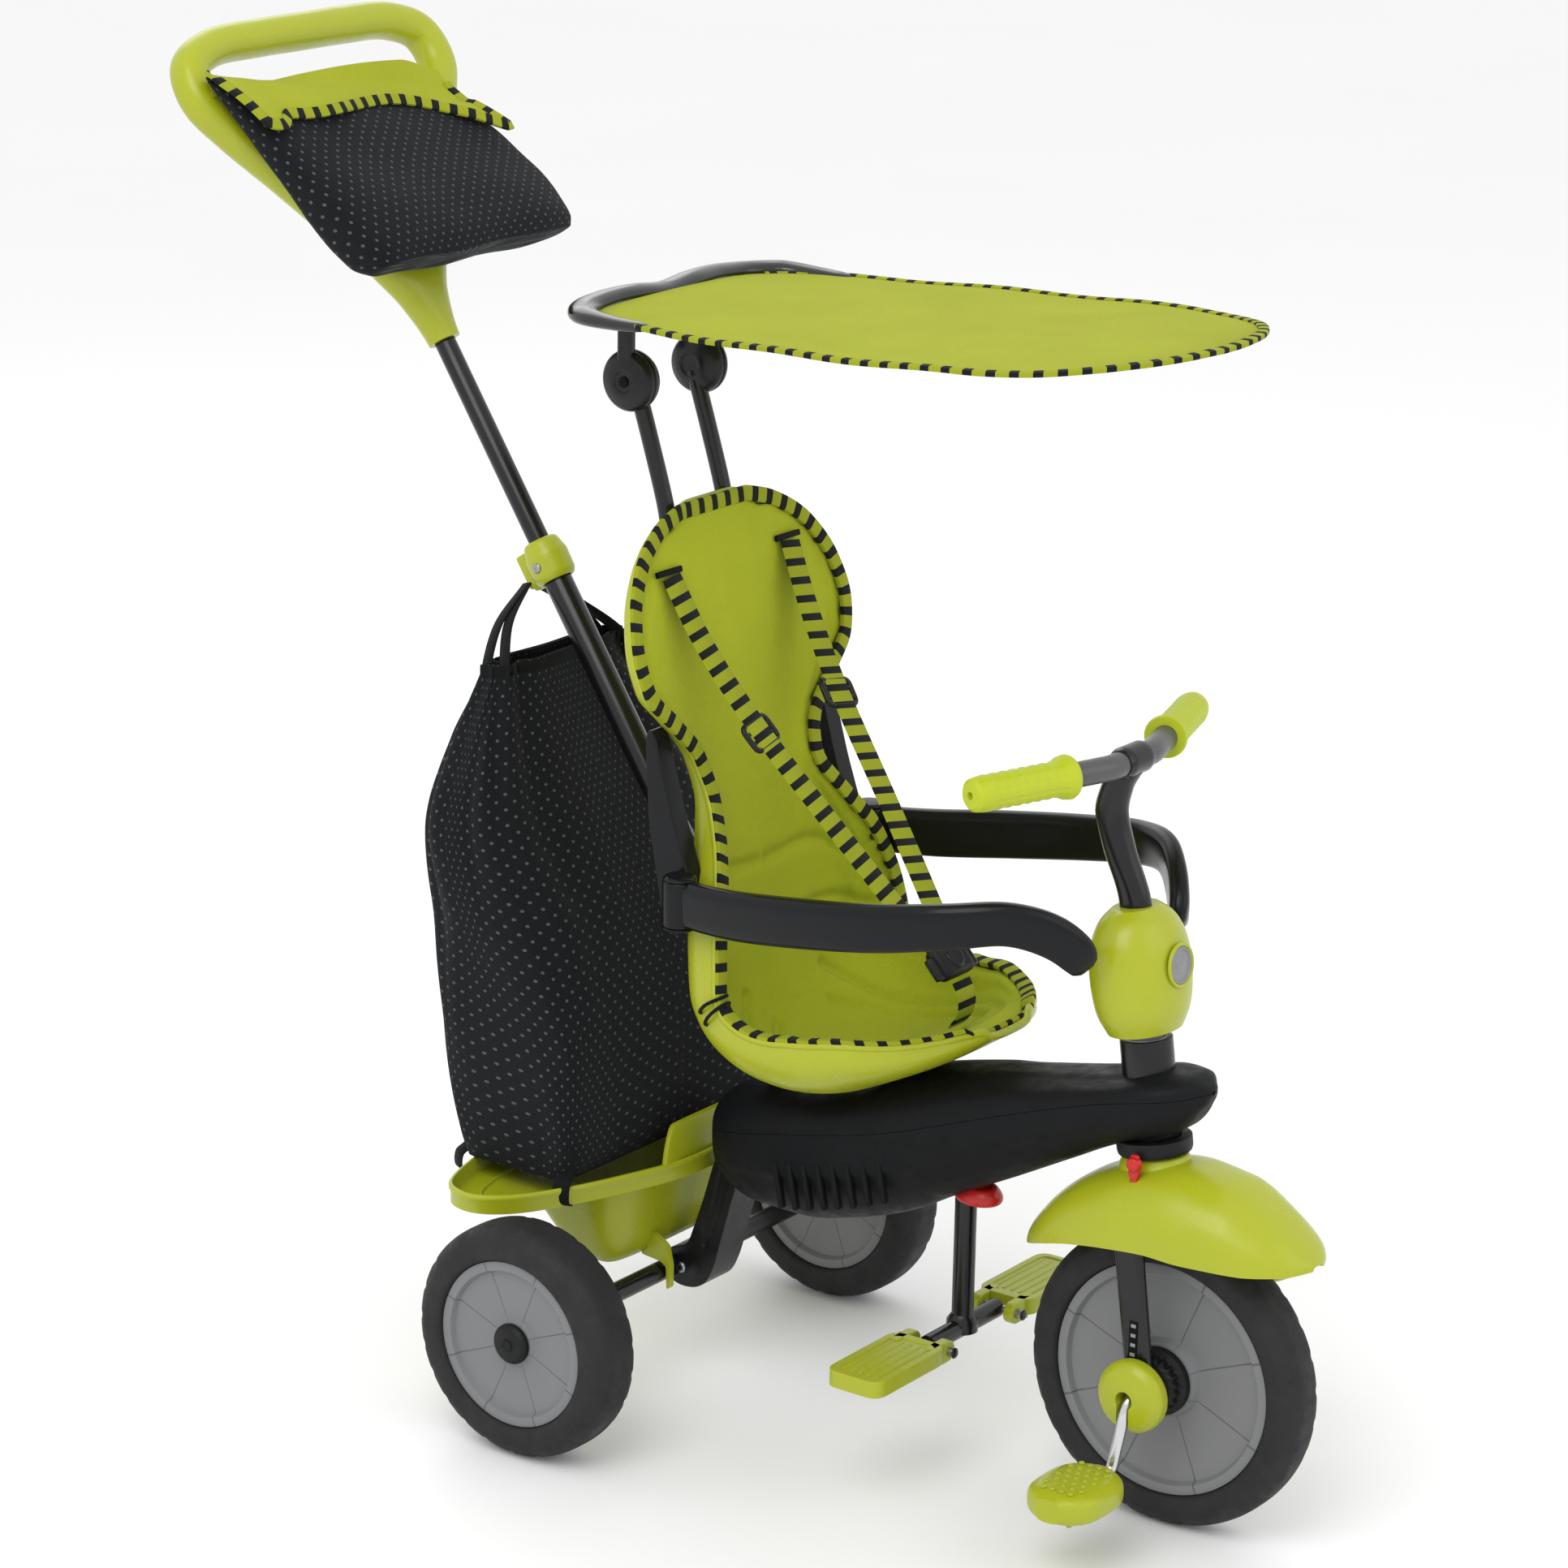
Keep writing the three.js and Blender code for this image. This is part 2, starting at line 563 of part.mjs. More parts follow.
const bracketOutline = () => polygon([
  [54, 262], [80, 262], [74, 222], [56, 160], [42, 108], [34, 90], [22, 82], [4, 81], [-8, 88], [-12, 99],
  [-8, 111], [4, 116], [14, 120], [28, 160], [44, 214],
]);

function addFrame() {
  const backbone = rod(point(52, 0, 228), point(steerX(338) - HEAD.radius - 3.5, 0, 335), 13);
  addPart("frame_backbone", backbone, LOOKS.blackSteel());
  const headTube = cut(steerRod(HEAD.bottomZ, HEAD.topZ, HEAD.radius), steerRod(280, 420, HEAD.bore));
  addPart("head_tube", headTube, LOOKS.blackSteel());
  const collar = cut(steerRod(304.5, 317, 29, 30), steerRod(290, 330, HEAD.radius + GAP));
  addPart("neck_collar", collar, LOOKS.blackPlastic());
  const axle = rod(point(0, -AXLE_END_Y, REAR_AXLE_Z), point(0, AXLE_END_Y, REAR_AXLE_Z), AXLE_RADIUS);
  addPart("rear_axle", axle, LOOKS.blackSteel());
  const axleHole = rod(point(0, -40, REAR_AXLE_Z), point(0, 40, REAR_AXLE_Z), AXLE_RADIUS + GAP);
  const backboneHole = rod(point(50, 0, 227.4), point(steerX(338) - HEAD.radius - 3.5, 0, 335), 13 + GAP);
  const bracket = slab(bracketOutline(), -BRACKET_HALF, BRACKET_HALF, 1.5);
  addPart("rear_bracket", cut(bracket, axleHole, backboneHole), LOOKS.blackPlastic());
}

// ---------------------------------------------------------------- footrest
function addFootrest() {
  const { x, barZ, radius, topZ, hingeY, padHalf } = FOOTREST;
  const post = rod(point(x, 0, barZ), point(x, 0, topZ), radius);
  const bar = rod(point(x, -hingeY, barZ), point(x, hingeY, barZ), 8);
  const pins = SIDES.map(([, s]) => rod(point(x - padHalf + 4, s * hingeY, barZ), point(x + padHalf - 4, s * hingeY, barZ), 4));
  addPart("footrest_frame", join(post, bar, ...pins), LOOKS.blackSteel());
  for (const [side, sign] of SIDES) addPart(`foot_pad_${side}`, footPad(sign), LOOKS.limePlastic());
  addPart("release_button", releaseButton(), LOOKS.redPlastic());
}

// Flat pad on two ears that turn on the pin at the end of the cross bar.
function footPad(sign) {
  const { x, barZ, hingeY, padOuterY, padHalf } = FOOTREST;
  const top = new THREE.Shape();
  const inner = hingeY + 9;
  const corner = 14;
  top.moveTo(x - padHalf, inner);
  top.lineTo(x + padHalf, inner);
  top.lineTo(x + padHalf, padOuterY - corner);
  top.quadraticCurveTo(x + padHalf, padOuterY, x + padHalf - corner, padOuterY);
  top.lineTo(x - padHalf + corner, padOuterY);
  top.quadraticCurveTo(x - padHalf, padOuterY, x - padHalf, padOuterY - corner);
  const board = new THREE.ExtrudeGeometry(top, { depth: 14, bevelEnabled: false, curveSegments: 4 }).translate(0, 0, barZ - 5);
  const ears = [-1, 1].map((end) => {
    const ear = new THREE.Shape();
    ear.absarc(hingeY, barZ, 9, Math.PI / 2, -Math.PI / 2, false);
    ear.lineTo(hingeY + 16, barZ - 9);
    ear.lineTo(hingeY + 24, barZ + 8);
    ear.lineTo(hingeY, barZ + 8);
    const plateX = x + end * (padHalf - 9.5) - 4.5;
    const solid = new THREE.ExtrudeGeometry(ear, { depth: 9, bevelEnabled: false, curveSegments: 8 });
    return solid.rotateY(Math.PI / 2).rotateX(Math.PI / 2).translate(plateX, 0, 0);
  });
  const pinHole = rod(point(x - 40, hingeY, barZ), point(x + 40, hingeY, barZ), 4 + GAP);
  const pad = cut(join(board, ...ears), pinHole);
  return sign > 0 ? pad : pad.scale(1, -1, 1);
}

const BUTTON = { x: 291, halfX: 21, halfY: 16, bottomZ: 221, topZ: 236, travel: 4, slack: 3 };

function buttonOutline(grow) {
  const outline = new THREE.Shape();
  outline.absellipse(BUTTON.x, 0, BUTTON.halfX + grow, BUTTON.halfY + grow, 0, Math.PI * 2);
  return outline;
}

function releaseButton() {
  const height = BUTTON.topZ - BUTTON.bottomZ;
  const button = new THREE.ExtrudeGeometry(buttonOutline(-3), {
    depth: height - 6, bevelSize: 3, bevelThickness: 3, bevelSegments: 2, curveSegments: 10,
  });
  const hole = rod(point(FOOTREST.x, 0, 200), point(FOOTREST.x, 0, 260), FOOTREST.radius + BUTTON.slack);
  return cut(button.translate(0, 0, BUTTON.bottomZ + 3), hole);
}

function buttonPocket() {
  const depth = BUTTON.topZ + BUTTON.travel + 1 - 200;
  return new THREE.ExtrudeGeometry(buttonOutline(0.6), { depth, bevelEnabled: false, curveSegments: 10 }).translate(0, 0, 200);
}

// ---------------------------------------------------------------- seat
const SEAT_SPINE = new THREE.CatmullRomCurve3([
  [4, 757], [19, 665], [35, 560], [51, 470], [61, 410], [72, 367], [94, 336], [130, 315], [172, 308], [210, 313],
  [245, 328], [285, 349], [316, 371],
].map(([x, z]) => point(x, 0, z)));
const SEAT_LENGTH = SEAT_SPINE.getLength();
const SEAT_SIZES = [ // distance along the spine, half width, depth of the side walls
  [0, 34, 5], [14, 82, 10], [40, 118, 16], [75, 139, 22], [105, 145, 26], [135, 139, 28], [165, 112, 28],
  [200, 84, 28], [230, 78, 32], [265, 92, 46], [300, 112, 58], [345, 127, 62], [400, 135, 60], [480, 137, 62],
  [560, 136, 64], [604, 128, 54], [645, 102, 34], [675, 66, 18], [689, 34, 10],
];

const seatSize = (s) => lookUp(SEAT_SIZES, (s / SEAT_LENGTH) * SEAT_SIZES.at(-1)[0]);

// A point of the bucket: s along the spine, angle -90..90 degrees across, inset from the outer skin.
function seatPoint(s, angle, inset, size) {
  const t = s / SEAT_LENGTH;
  const centre = SEAT_SPINE.getPointAt(t);
  const tangent = SEAT_SPINE.getTangentAt(t);
  const inward = point(-tangent.z, 0, tangent.x);
  const [half, wall] = size(s);
  const rise = inset + (wall - inset) * (1 - roundedPower(Math.cos(angle), 3));
  const y = (half - inset) * roundedPower(Math.sin(angle), 3);
  return centre.addScaledVector(inward, rise).setY(y);
}

const SEAT_ROWS = 18;
const SEAT_COLUMNS = 8;

function seatGrid(size, inset, trim, rows = SEAT_ROWS, columns = SEAT_COLUMNS) {
  const grid = [];
  for (let row = 0; row <= rows; row++) {
    const s = trim + (row / rows) * (SEAT_LENGTH - 2 * trim);
    const line = [];
    for (let column = 0; column <= columns; column++) {
      line.push(seatPoint(s, ((column / columns) * 2 - 1) * Math.PI * 0.495, inset, size));
    }
    grid.push(line);
  }
  return grid;
}

function addSeat() {
  const shell = plate(seatGrid(seatSize, 0, 0), seatGrid(seatSize, SEAT_THICKNESS, 0));
  addPart("seat_shell", shell, LOOKS.limePlastic());
  const from = SEAT_THICKNESS + LINER.clear + 0.4;
  addPart("seat_liner", plate(seatGrid(seatSize, from, 0), seatGrid(seatSize, from + LINER.thickness, 0)), LOOKS.limeFabric());
}

// ---------------------------------------------------------------- push pole and handle
const polePoint = (z) => point(POLE.footX - (z - POLE.footZ) * POLE.slope, 0, z);
const POLE_AXIS = polePoint(1).sub(polePoint(0)).normalize();
const POLE_FRONT = point(POLE_AXIS.z, 0, -POLE_AXIS.x);

// A point of the handle: s up the pole from the socket, y across, n to the front of the pole.
const handlePoint = (s, y, n = 0) => polePoint(POLE.socketZ).addScaledVector(POLE_AXIS, s)
  .addScaledVector(POLE_FRONT, n).setY(y);

function addPole() {
  const { outerRadius, innerRadius, footZ, jointZ, socketZ } = POLE;
  const bore = rod(polePoint(footZ + 4), polePoint(jointZ + 40), innerRadius + GAP);
  addPart("push_tube_lower", cut(rod(polePoint(footZ), polePoint(jointZ), outerRadius), bore), LOOKS.blackSteel());
  addPart("push_tube_upper", rod(polePoint(jointZ - 190), polePoint(socketZ + 30), innerRadius), LOOKS.blackSteel());
  addPart("pole_collar", collar(), LOOKS.limePlastic());
  addPart("push_handle", pushHandle(), LOOKS.limePlastic());
  addPart("handle_pouch", handlePouch(), LOOKS.charcoalFabric());
}

function collar() {
  const base = polePoint(POLE.jointZ - 12);
  const profile = [[0, 0], [15.5, 0], [18, 5], [18.5, 22], [15, 34], [13, 36], [0, 36]];
  const body = turnedSolidY(profile, 14);
  body.applyQuaternion(new THREE.Quaternion().setFromUnitVectors(point(0, 1, 0), POLE_AXIS));
  body.translate(base.x, base.y, base.z);
  const lug = new THREE.BoxGeometry(12, 12, 30);
  lug.rotateY(Math.atan2(POLE_AXIS.x, POLE_AXIS.z)).translate(base.x - 28, 0, base.z + 3);
  const clearance = POLE.outerRadius + GAP;
  return cut(
    join(body, lug),
    rod(polePoint(POLE.jointZ - 40), polePoint(POLE.jointZ + 0.4), clearance),
    rod(polePoint(POLE.jointZ - 5), polePoint(POLE.jointZ + 60), POLE.innerRadius + GAP),
  );
}

const LOOP_RADIUS = 16;
const LOOP = [[84, 0], [92, 36], [125, 62], [170, 97], [212, 131], [242, 149], [270, 144], [285, 112], [288, 50], [288, 0]];

function pushHandle() {
  const half = LOOP.map(([s, y]) => point(s, y, 0));
  const mirrored = half.slice(1, -1).reverse().map((p) => point(p.x, -p.y, 0));
  const path = new THREE.CatmullRomCurve3([...half, ...mirrored], true, "centripetal");
  const steps = 26;
  const rings = [];
  for (let i = 0; i < steps; i++) {
    const centre = path.getPointAt(i / steps);
    const tangent = path.getTangentAt(i / steps);
    const ring = [];
    for (let k = 0; k < 8; k++) {
      const angle = (k / 8) * Math.PI * 2;
      const across = LOOP_RADIUS * Math.cos(angle);
      ring.push(handlePoint(centre.x - tangent.y * across, centre.y + tangent.x * across, LOOP_RADIUS * Math.sin(angle)));
    }
    rings.push(ring);
  }
  const socket = loft([[0, 13, 13], [8, 14, 13.5], [40, 25, 15], [75, 46, 16], [94, 50, 14]].map(([s, halfY, halfN]) => {
    const ring = [];
    for (let k = 0; k < 14; k++) {
      const angle = (k / 14) * Math.PI * 2;
      ring.push(handlePoint(s, halfY * Math.cos(angle), halfN * Math.sin(angle)));
    }
    return ring;
  }));
  const tubeHole = rod(polePoint(POLE.socketZ - 20), polePoint(POLE.socketZ + 30.5), POLE.innerRadius + GAP);
  return cut(join(ringBody(rings), socket), tubeHole);
}

// A closed body through rings whose last one meets the first.
function ringBody(rings) {
  const size = rings[0].length;
  const faces = [];
  for (let r = 0; r < rings.length; r++) {
    const low = r * size;
    const high = ((r + 1) % rings.length) * size;
    for (let i = 0; i < size; i++) {
      const j = (i + 1) % size;
      faces.push(low + i, low + j, high + j, low + i, high + j, high + i);
    }
  }
  return fromFaces(rings.flat(), faces);
}

const POUCH = [ // distance up from the socket, half width, back n, front n
  [222, 138, 17.5, 22], [212, 143, 17.5, 34], [180, 144, 17.5, 48], [130, 144, 17.5, 62], [90, 144, 18, 74],
  [66, 142, 24, 79], [52, 134, 40, 74],
];
const POUCH_SAG = { offsetY: 8, slope: 0.27 };

// Soft bag strapped to the front of the loop; its far corner hangs lower than the near one.
function handlePouch() {
  const [[top], [bottom]] = [POUCH[0], POUCH.at(-1)];
  return loft(POUCH.map(([s, halfY, back, front]) => {
    const ring = [];
    const sag = POUCH_SAG.slope * (s - bottom) / (top - bottom);
    for (let k = 0; k < 16; k++) {
      const angle = (k / 16) * Math.PI * 2;
      const n = (back + front) / 2 + ((front - back) / 2) * roundedPower(Math.sin(angle), 3);
      const y = POUCH_SAG.offsetY + halfY * roundedPower(Math.cos(angle), 5);
      ring.push(handlePoint(s - sag * y, y, n));
    }
    return ring;
  }));
}

// ---------------------------------------------------------------- canopy
const canopyZ = (x) => 922 + 0.045 * x;
const BOW = { width: 12, height: 7 };
const BOW_PATH = [ // x, y, rise above the sheet
  [50, 135, -2], [16, 136, -1], [-16, 130, 1], [-36, 106, 2], [-41, 72, 4], [-39, 36, 4], [-38, 0, 1],
];

function bowRings(grow) {
  const half = BOW_PATH.map(([x, y, rise], i) => point(x + (i === 0 ? 3 * grow : 0), y, canopyZ(x) + rise));
  const other = half.slice(0, -1).reverse().map((p) => point(p.x, -p.y, p.z));
  const path = new THREE.CatmullRomCurve3([...half, ...other], false, "centripetal");
  const steps = 22;
  const rings = [];
  for (let i = 0; i <= steps; i++) {
    const centre = path.getPointAt(i / steps);
    const tangent = path.getTangentAt(i / steps);
    const taper = Math.min(1, 0.55 + 3 * Math.min(i, steps - i) / steps);
    const ring = [];
    for (let k = 0; k < 8; k++) {
      const angle = (k / 8) * Math.PI * 2;
      const across = (BOW.width * taper + grow) * Math.cos(angle);
      const up = (BOW.height + grow) * Math.sin(angle);
      ring.push(point(centre.x - tangent.y * across, centre.y + tangent.x * across, centre.z + up));
    }
    rings.push(ring);
  }
  return rings;
}

const SHEET = { thickness: 4, droop: 6 };
const SHEET_EDGE = [ // x, half width
  [-27, 100], [-10, 122], [25, 134], [100, 148], [190, 157], [280, 160], [350, 156], [400, 141], [440, 115], [466, 84],
  [480, 52], [486, 22],
];

function canopySheet() {
  const widest = 160;
  const skin = (offset) => SHEET_EDGE.map(([x, half]) => {
    const line = [];
    for (let column = 0; column <= 6; column++) {
      const y = half * ((column / 6) * 2 - 1);
      line.push(point(x, y, canopyZ(x) + offset - SHEET.droop * (y / widest) ** 2));
    }
    return line;
  });
  return cut(plate(skin(0), skin(SHEET.thickness)), loft(bowRings(GAP + 0.3)));
}

// Half of the friction joint, a thick lens about the Y axis between |y| = y0 and y1.
function hingeHalf(sign, y0, y1) {
  const outwards = y1 > CANOPY.pivotY ? 1 : -1;
  const [flat, dome] = outwards > 0 ? [y0, y1] : [y1, y0];
  const { discRadius } = CANOPY;
  const reach = dome - flat;
  const profile = [
    [0, flat], [discRadius, flat], [discRadius, flat + reach * 0.3], [discRadius * 0.85, flat + reach * 0.72],
    [discRadius * 0.5, flat + reach * 0.95], [0, dome],
  ];
  return turnedSolidY(profile.map(([r, y]) => [r, sign * y]), 24).translate(CANOPY.pivotX, 0, CANOPY.pivotZ);
}

function addCanopy() {
  const { pivotX, pivotZ, pivotY, postRadius } = CANOPY;
  for (const [side, sign] of SIDES) {
    const y = sign * (pivotY - 7.6);
    const post = bentTube([
      point(pivotX, y, pivotZ - 5), point(-21, y, 806), point(-5.5, y, 757), point(-1.5, y, 738), point(4, y, 700),
    ], postRadius, 6, 10);
    addPart(`canopy_post_${side}`, join(hingeHalf(sign, pivotY - 15, pivotY - 0.3), post), LOOKS.blackPlastic());
    const armY = sign * (pivotY + 5);
    const stub = boxBetween([pivotX - 8, armY - 4.5, pivotZ + 5], [pivotX + 6, armY + 4.5, canopyZ(pivotX) + 2]);
    const arm = cut(join(hingeHalf(sign, pivotY + 0.3, pivotY + 11), stub), loft(bowRings(GAP)));
    addPart(`canopy_arm_${side}`, arm, LOOKS.blackPlastic());
  }
  addPart("canopy_bow", loft(bowRings(0)), LOOKS.blackPlastic());
  addPart("canopy_sheet", canopySheet(), LOOKS.limeFabric());
}

// ---------------------------------------------------------------- guard rail
const RAIL_HINGE = { x: 84, y: 131, z: 464, radius: 9, half: 21 };
const RAIL_PATH = [ // x, y, z, half height
  [86, 131, 464, 19], [140, 141, 468, 20], [215, 150, 479, 20], [290, 151, 491, 19], [345, 139, 501, 18],
  [384, 115, 505, 17], [407, 92, 495, 17], [420, 76, 480, 16], [425, 68, 466, 15],
];
const RAIL_THICKNESS = 9;

function railArm(sign) {
  const path = new THREE.CatmullRomCurve3(RAIL_PATH.map(([x, y, z]) => point(x, sign * y, z)), false, "centripetal");
  const steps = 16;
  const rings = [];
  for (let i = 0; i <= steps; i++) {
    const centre = path.getPoint(i / steps);
    const tangent = path.getTangent(i / steps);
    const across = point(-tangent.y, tangent.x, 0).normalize();
    const up = tangent.clone().cross(across).negate().normalize();
    if (up.z < 0) up.negate();
    const half = RAIL_PATH[Math.round((i / steps) * (RAIL_PATH.length - 1))][3];
    const ring = [];
    for (let k = 0; k < 10; k++) {
      const angle = (k / 10) * Math.PI * 2;
      const a = RAIL_THICKNESS * roundedPower(Math.cos(angle), 3);
      const b = half * roundedPower(Math.sin(angle), 3);
      ring.push(centre.clone().addScaledVector(across, a).addScaledVector(up, b));
    }
    rings.push(ring);
  }
  const { x, y, z, radius } = RAIL_HINGE;
  const column = rod(point(x, sign * y, z - 40), point(x, sign * y, z + 40), radius + 0.6, radius + 0.6, 20);
  const behind = boxBetween([x - 40, Math.min(0, sign * 200), z - 40], [x, Math.max(0, sign * 200), z + 40]);
  return cut(loft(rings), column, behind);
}

const RAIL_WING = [
  [62, 430], [86, 432], [92, 450], [92, 478], [86, 500], [80, 528], [70, 562], [60, 592], [50, 604], [42, 590], [44, 520],
];

// Vertical hinge post on a wing that runs up behind the side of the seat.
function railHinge(sign) {
  const { x, y, z, radius, half } = RAIL_HINGE;
  const column = rod(point(x, sign * y, z - half), point(x, sign * y, z + half), radius, radius, 20);
  const wing = slab(polygon(RAIL_WING), sign * 111.5 - 9.5, sign * 111.5 + 9.5, 2);
  const seat = plate(seatGrid((s) => seatSize(s).map((value) => value + 1), -1, 0), seatGrid(seatSize, 80, 0));
  const web = boxBetween([x - 12, Math.min(sign * 110, sign * y), z - 19], [x - 1, Math.max(sign * 110, sign * y), z + 12]);
  return cut(join(column, web, wing), seat);
}

function addGuardRail() {
  for (const [side, sign] of SIDES) {
    addPart(`guard_arm_${side}`, railArm(sign), LOOKS.blackPlastic());
    addPart(`guard_hinge_${side}`, railHinge(sign), LOOKS.blackPlastic());
  }
}

// ---------------------------------------------------------------- harness
const STRAP = { half: 12.5, thickness: 2.5 };

// A flat strap through [x, y, z] points, its width lying along the Y direction.
function strap(points, half = STRAP.half) {
  const curve = new THREE.CatmullRomCurve3(points.map((p) => point(...p)), false, "centripetal");
  const skin = (offset) => {
    const grid = [];
    for (let i = 0; i <= 10; i++) {
      const centre = curve.getPoint(i / 10);
      const tangent = curve.getTangent(i / 10);
      const normal = point(-tangent.z, 0, tangent.x).normalize();
      grid.push([-half, half].map((y) => centre.clone().addScaledVector(normal, offset).add(point(0, y, 0))));
    }
    return grid;
  };
  return plate(skin(0), skin(STRAP.thickness));
}

const BUCKLE = { x: 256, z: 418, halfX: 14, halfY: 20, halfZ: 7 };

function addHarness() {
  for (const [side, sign] of SIDES) {
    const path = [[34, 80, 712], [60, 72, 662], [98, 60, 606], [170, 38, 520], [240, 15, 436]];
    addPart(`shoulder_strap_${side}`, strap(path.map(([x, y, z]) => [x, sign * y, z])), LOOKS.limeFabric());
  }
  const { x, z, halfX, halfY, halfZ } = BUCKLE;
  const buckle = new THREE.BoxGeometry(2 * halfX, 2 * halfY, 2 * halfZ).rotateY(THREE.MathUtils.degToRad(48));
  addPart("harness_buckle", buckle.translate(x, 0, z), LOOKS.blackPlastic());
  addPart("crotch_strap", strap([[267, 0, 404], [273, 0, 392], [272, 0, 378], [264, 0, 366]]), LOOKS.limeFabric());
}

// ---------------------------------------------------------------- storage bucket and bag
const TRAY = { floorZ: 190, topZ: 204, wall: 3 };
const TRAY_OUTLINE = [
  [26, 0], [24, 40], [10, 92], [-12, 150], [-40, 196], [-66, 211], [-92, 203], [-114, 150], [-124, 60], [-124, 0],
];

function trayShape(inset) {
  const half = TRAY_OUTLINE.map(([x, y]) => [x, y]);
  const ring = [...half, ...half.slice(1, -1).reverse().map(([x, y]) => [x, -y])];
  const centreX = -49;
  return smoothOutline(ring.map(([x, y]) => [
    centreX + (x - centreX) * (1 - inset / 75),
    y * (1 - inset / 211),
  ]));
}

const TUB = [ // z, rear x, front x, half width
  [200, -110, 6, 112], [170, -100, 2, 106], [140, -78, -4, 98], [116, -58, -12, 86], [111, -50, -18, 76],
];

function tubRings(inset, lift) {
  return TUB.map(([z, rear, front, halfY], i) => {
    const ring = [];
    const height = i === 0 ? z + 20 : Math.max(z, TUB.at(-1)[0] + lift);
    for (let k = 0; k < 16; k++) {
      const angle = (k / 16) * Math.PI * 2;
      const x = (rear + front) / 2 + ((front - rear) / 2 - inset) * roundedPower(Math.cos(angle), 5);
      ring.push(point(x, (halfY - inset) * roundedPower(Math.sin(angle), 5), i === 0 && inset === 0 ? z : height));
    }
    return ring;
  });
}

function storageBucket() {
  const flat = (shape, z0, z1) => new THREE.ExtrudeGeometry(shape, { depth: z1 - z0, bevelEnabled: false }).translate(0, 0, z0);
  const tray = flat(trayShape(0), TRAY.floorZ - TRAY.wall, TRAY.topZ);
  const hollow = flat(trayShape(TRAY.wall), TRAY.floorZ, TRAY.topZ + 10);
  const lip = backRest();
  const hooks = [-40, 40].map((y) => slab(polygon([
    [-16, 134], [-2, 132], [10, 124], [14, 108], [14, 88], [10.5, 86], [9.6, 106], [4, 109.5], [-16, 111.5],
  ]), y - 3, y + 3));
  const inner = loft(tubRings(TRAY.wall, TRAY.wall + 1));
  return cut(join(cut(tray, hollow), lip, loft(tubRings(0, 0)), ...hooks), inner);
}

// Raised part of the tray's front wall.
function backRest() {
  const rings = [[201, 10, 58], [224, 7, 50], [232, 4, 40]].map(([z, front, halfY]) => {
    const ring = [];
    for (let k = 0; k < 20; k++) {
      const angle = (k / 20) * Math.PI * 2;
      ring.push(point(14 + (front - 6) + 3 * roundedPower(Math.cos(angle), 6), halfY * roundedPower(Math.sin(angle), 6), z));
    }
    return ring;
  });
  return loft(rings);
}

const BAG = [ // z, rear x, front x, half width
  [206, -126, -16, 148], [225, -132, -8, 152], [300, -152, -6, 155], [390, -176, -36, 153], [475, -192, -82, 146],
  [545, -180, -112, 118], [590, -166, -130, 92], [608, -160, -136, 82],
];
const BAG_WALL = 3;

function bagRings(inset, from) {
  return BAG.map(([z, rear, front, halfY], i) => {
    const ring = [];
    const height = i === BAG.length - 1 && inset > 0 ? z + 10 : Math.max(z, BAG[0][0] + from + i * 0.01);
    for (let k = 0; k < 16; k++) {
      const angle = (k / 16) * Math.PI * 2;
      const x = (rear + front) / 2 + ((front - rear) / 2 - inset) * roundedPower(Math.cos(angle), 3.2);
      ring.push(point(x, (halfY - inset) * roundedPower(Math.sin(angle), 4.5), height));
    }
    return ring;
  });
}

function addStorage() {
  addPart("storage_bucket", storageBucket(), LOOKS.limePlastic());
  addPart("tote_bag", cut(loft(bagRings(0, 0)), loft(bagRings(BAG_WALL, BAG_WALL))), LOOKS.charcoalFabric());
}

// ---------------------------------------------------------------- assembly
addFrame();
addBody();
addRearWheels();
addFrontWheel();
addCrank();
addPedals();
addSteering();
addFootrest();
addSeat();
addHarness();
addGuardRail();
addCanopy();
addPole();
addStorage();

export default tricycle;
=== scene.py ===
import math

import bmesh
import bpy
import numpy as np
from mathutils import Euler, Matrix, Vector
from mathutils.kdtree import KDTree


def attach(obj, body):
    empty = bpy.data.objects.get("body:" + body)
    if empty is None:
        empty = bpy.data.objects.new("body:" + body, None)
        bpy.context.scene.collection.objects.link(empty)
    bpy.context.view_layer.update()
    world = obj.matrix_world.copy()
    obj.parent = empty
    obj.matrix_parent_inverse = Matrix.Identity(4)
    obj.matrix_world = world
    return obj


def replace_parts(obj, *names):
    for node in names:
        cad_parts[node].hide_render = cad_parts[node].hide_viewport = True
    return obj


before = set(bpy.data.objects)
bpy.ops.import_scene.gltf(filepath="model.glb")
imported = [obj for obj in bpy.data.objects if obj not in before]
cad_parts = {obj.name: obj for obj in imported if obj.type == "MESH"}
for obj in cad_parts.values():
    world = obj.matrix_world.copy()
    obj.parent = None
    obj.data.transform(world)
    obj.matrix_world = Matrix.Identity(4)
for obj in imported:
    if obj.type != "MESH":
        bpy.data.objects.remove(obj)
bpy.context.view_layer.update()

# ---------------------------------------------------------------- sizes shared with the CAD model
# Millimetres, X from the rear axle. Everything is shifted and scaled to metres when it is built.
SHIFT_X = -81.3
WHEELBASE = 479
RAKE = math.radians(8)
FACET = math.cos(math.pi / 28)
REAR = {"radius": 99 * FACET, "width": 52, "disc": 70, "hub": 17, "hub_half": 17}
FRONT = {"radius": 125 * FACET, "width": 46, "disc": 96, "hub": 30, "hub_half": 19}
REAR_Y = 216
SIDES = (("left", 1), ("right", -1))


def vec(*values):
    return np.array(values, float)


def unit(v):
    return v / np.linalg.norm(v)


def around(count):
    """Evenly spaced angles of a full turn."""
    return np.linspace(0, 2 * math.pi, count, endpoint=False)


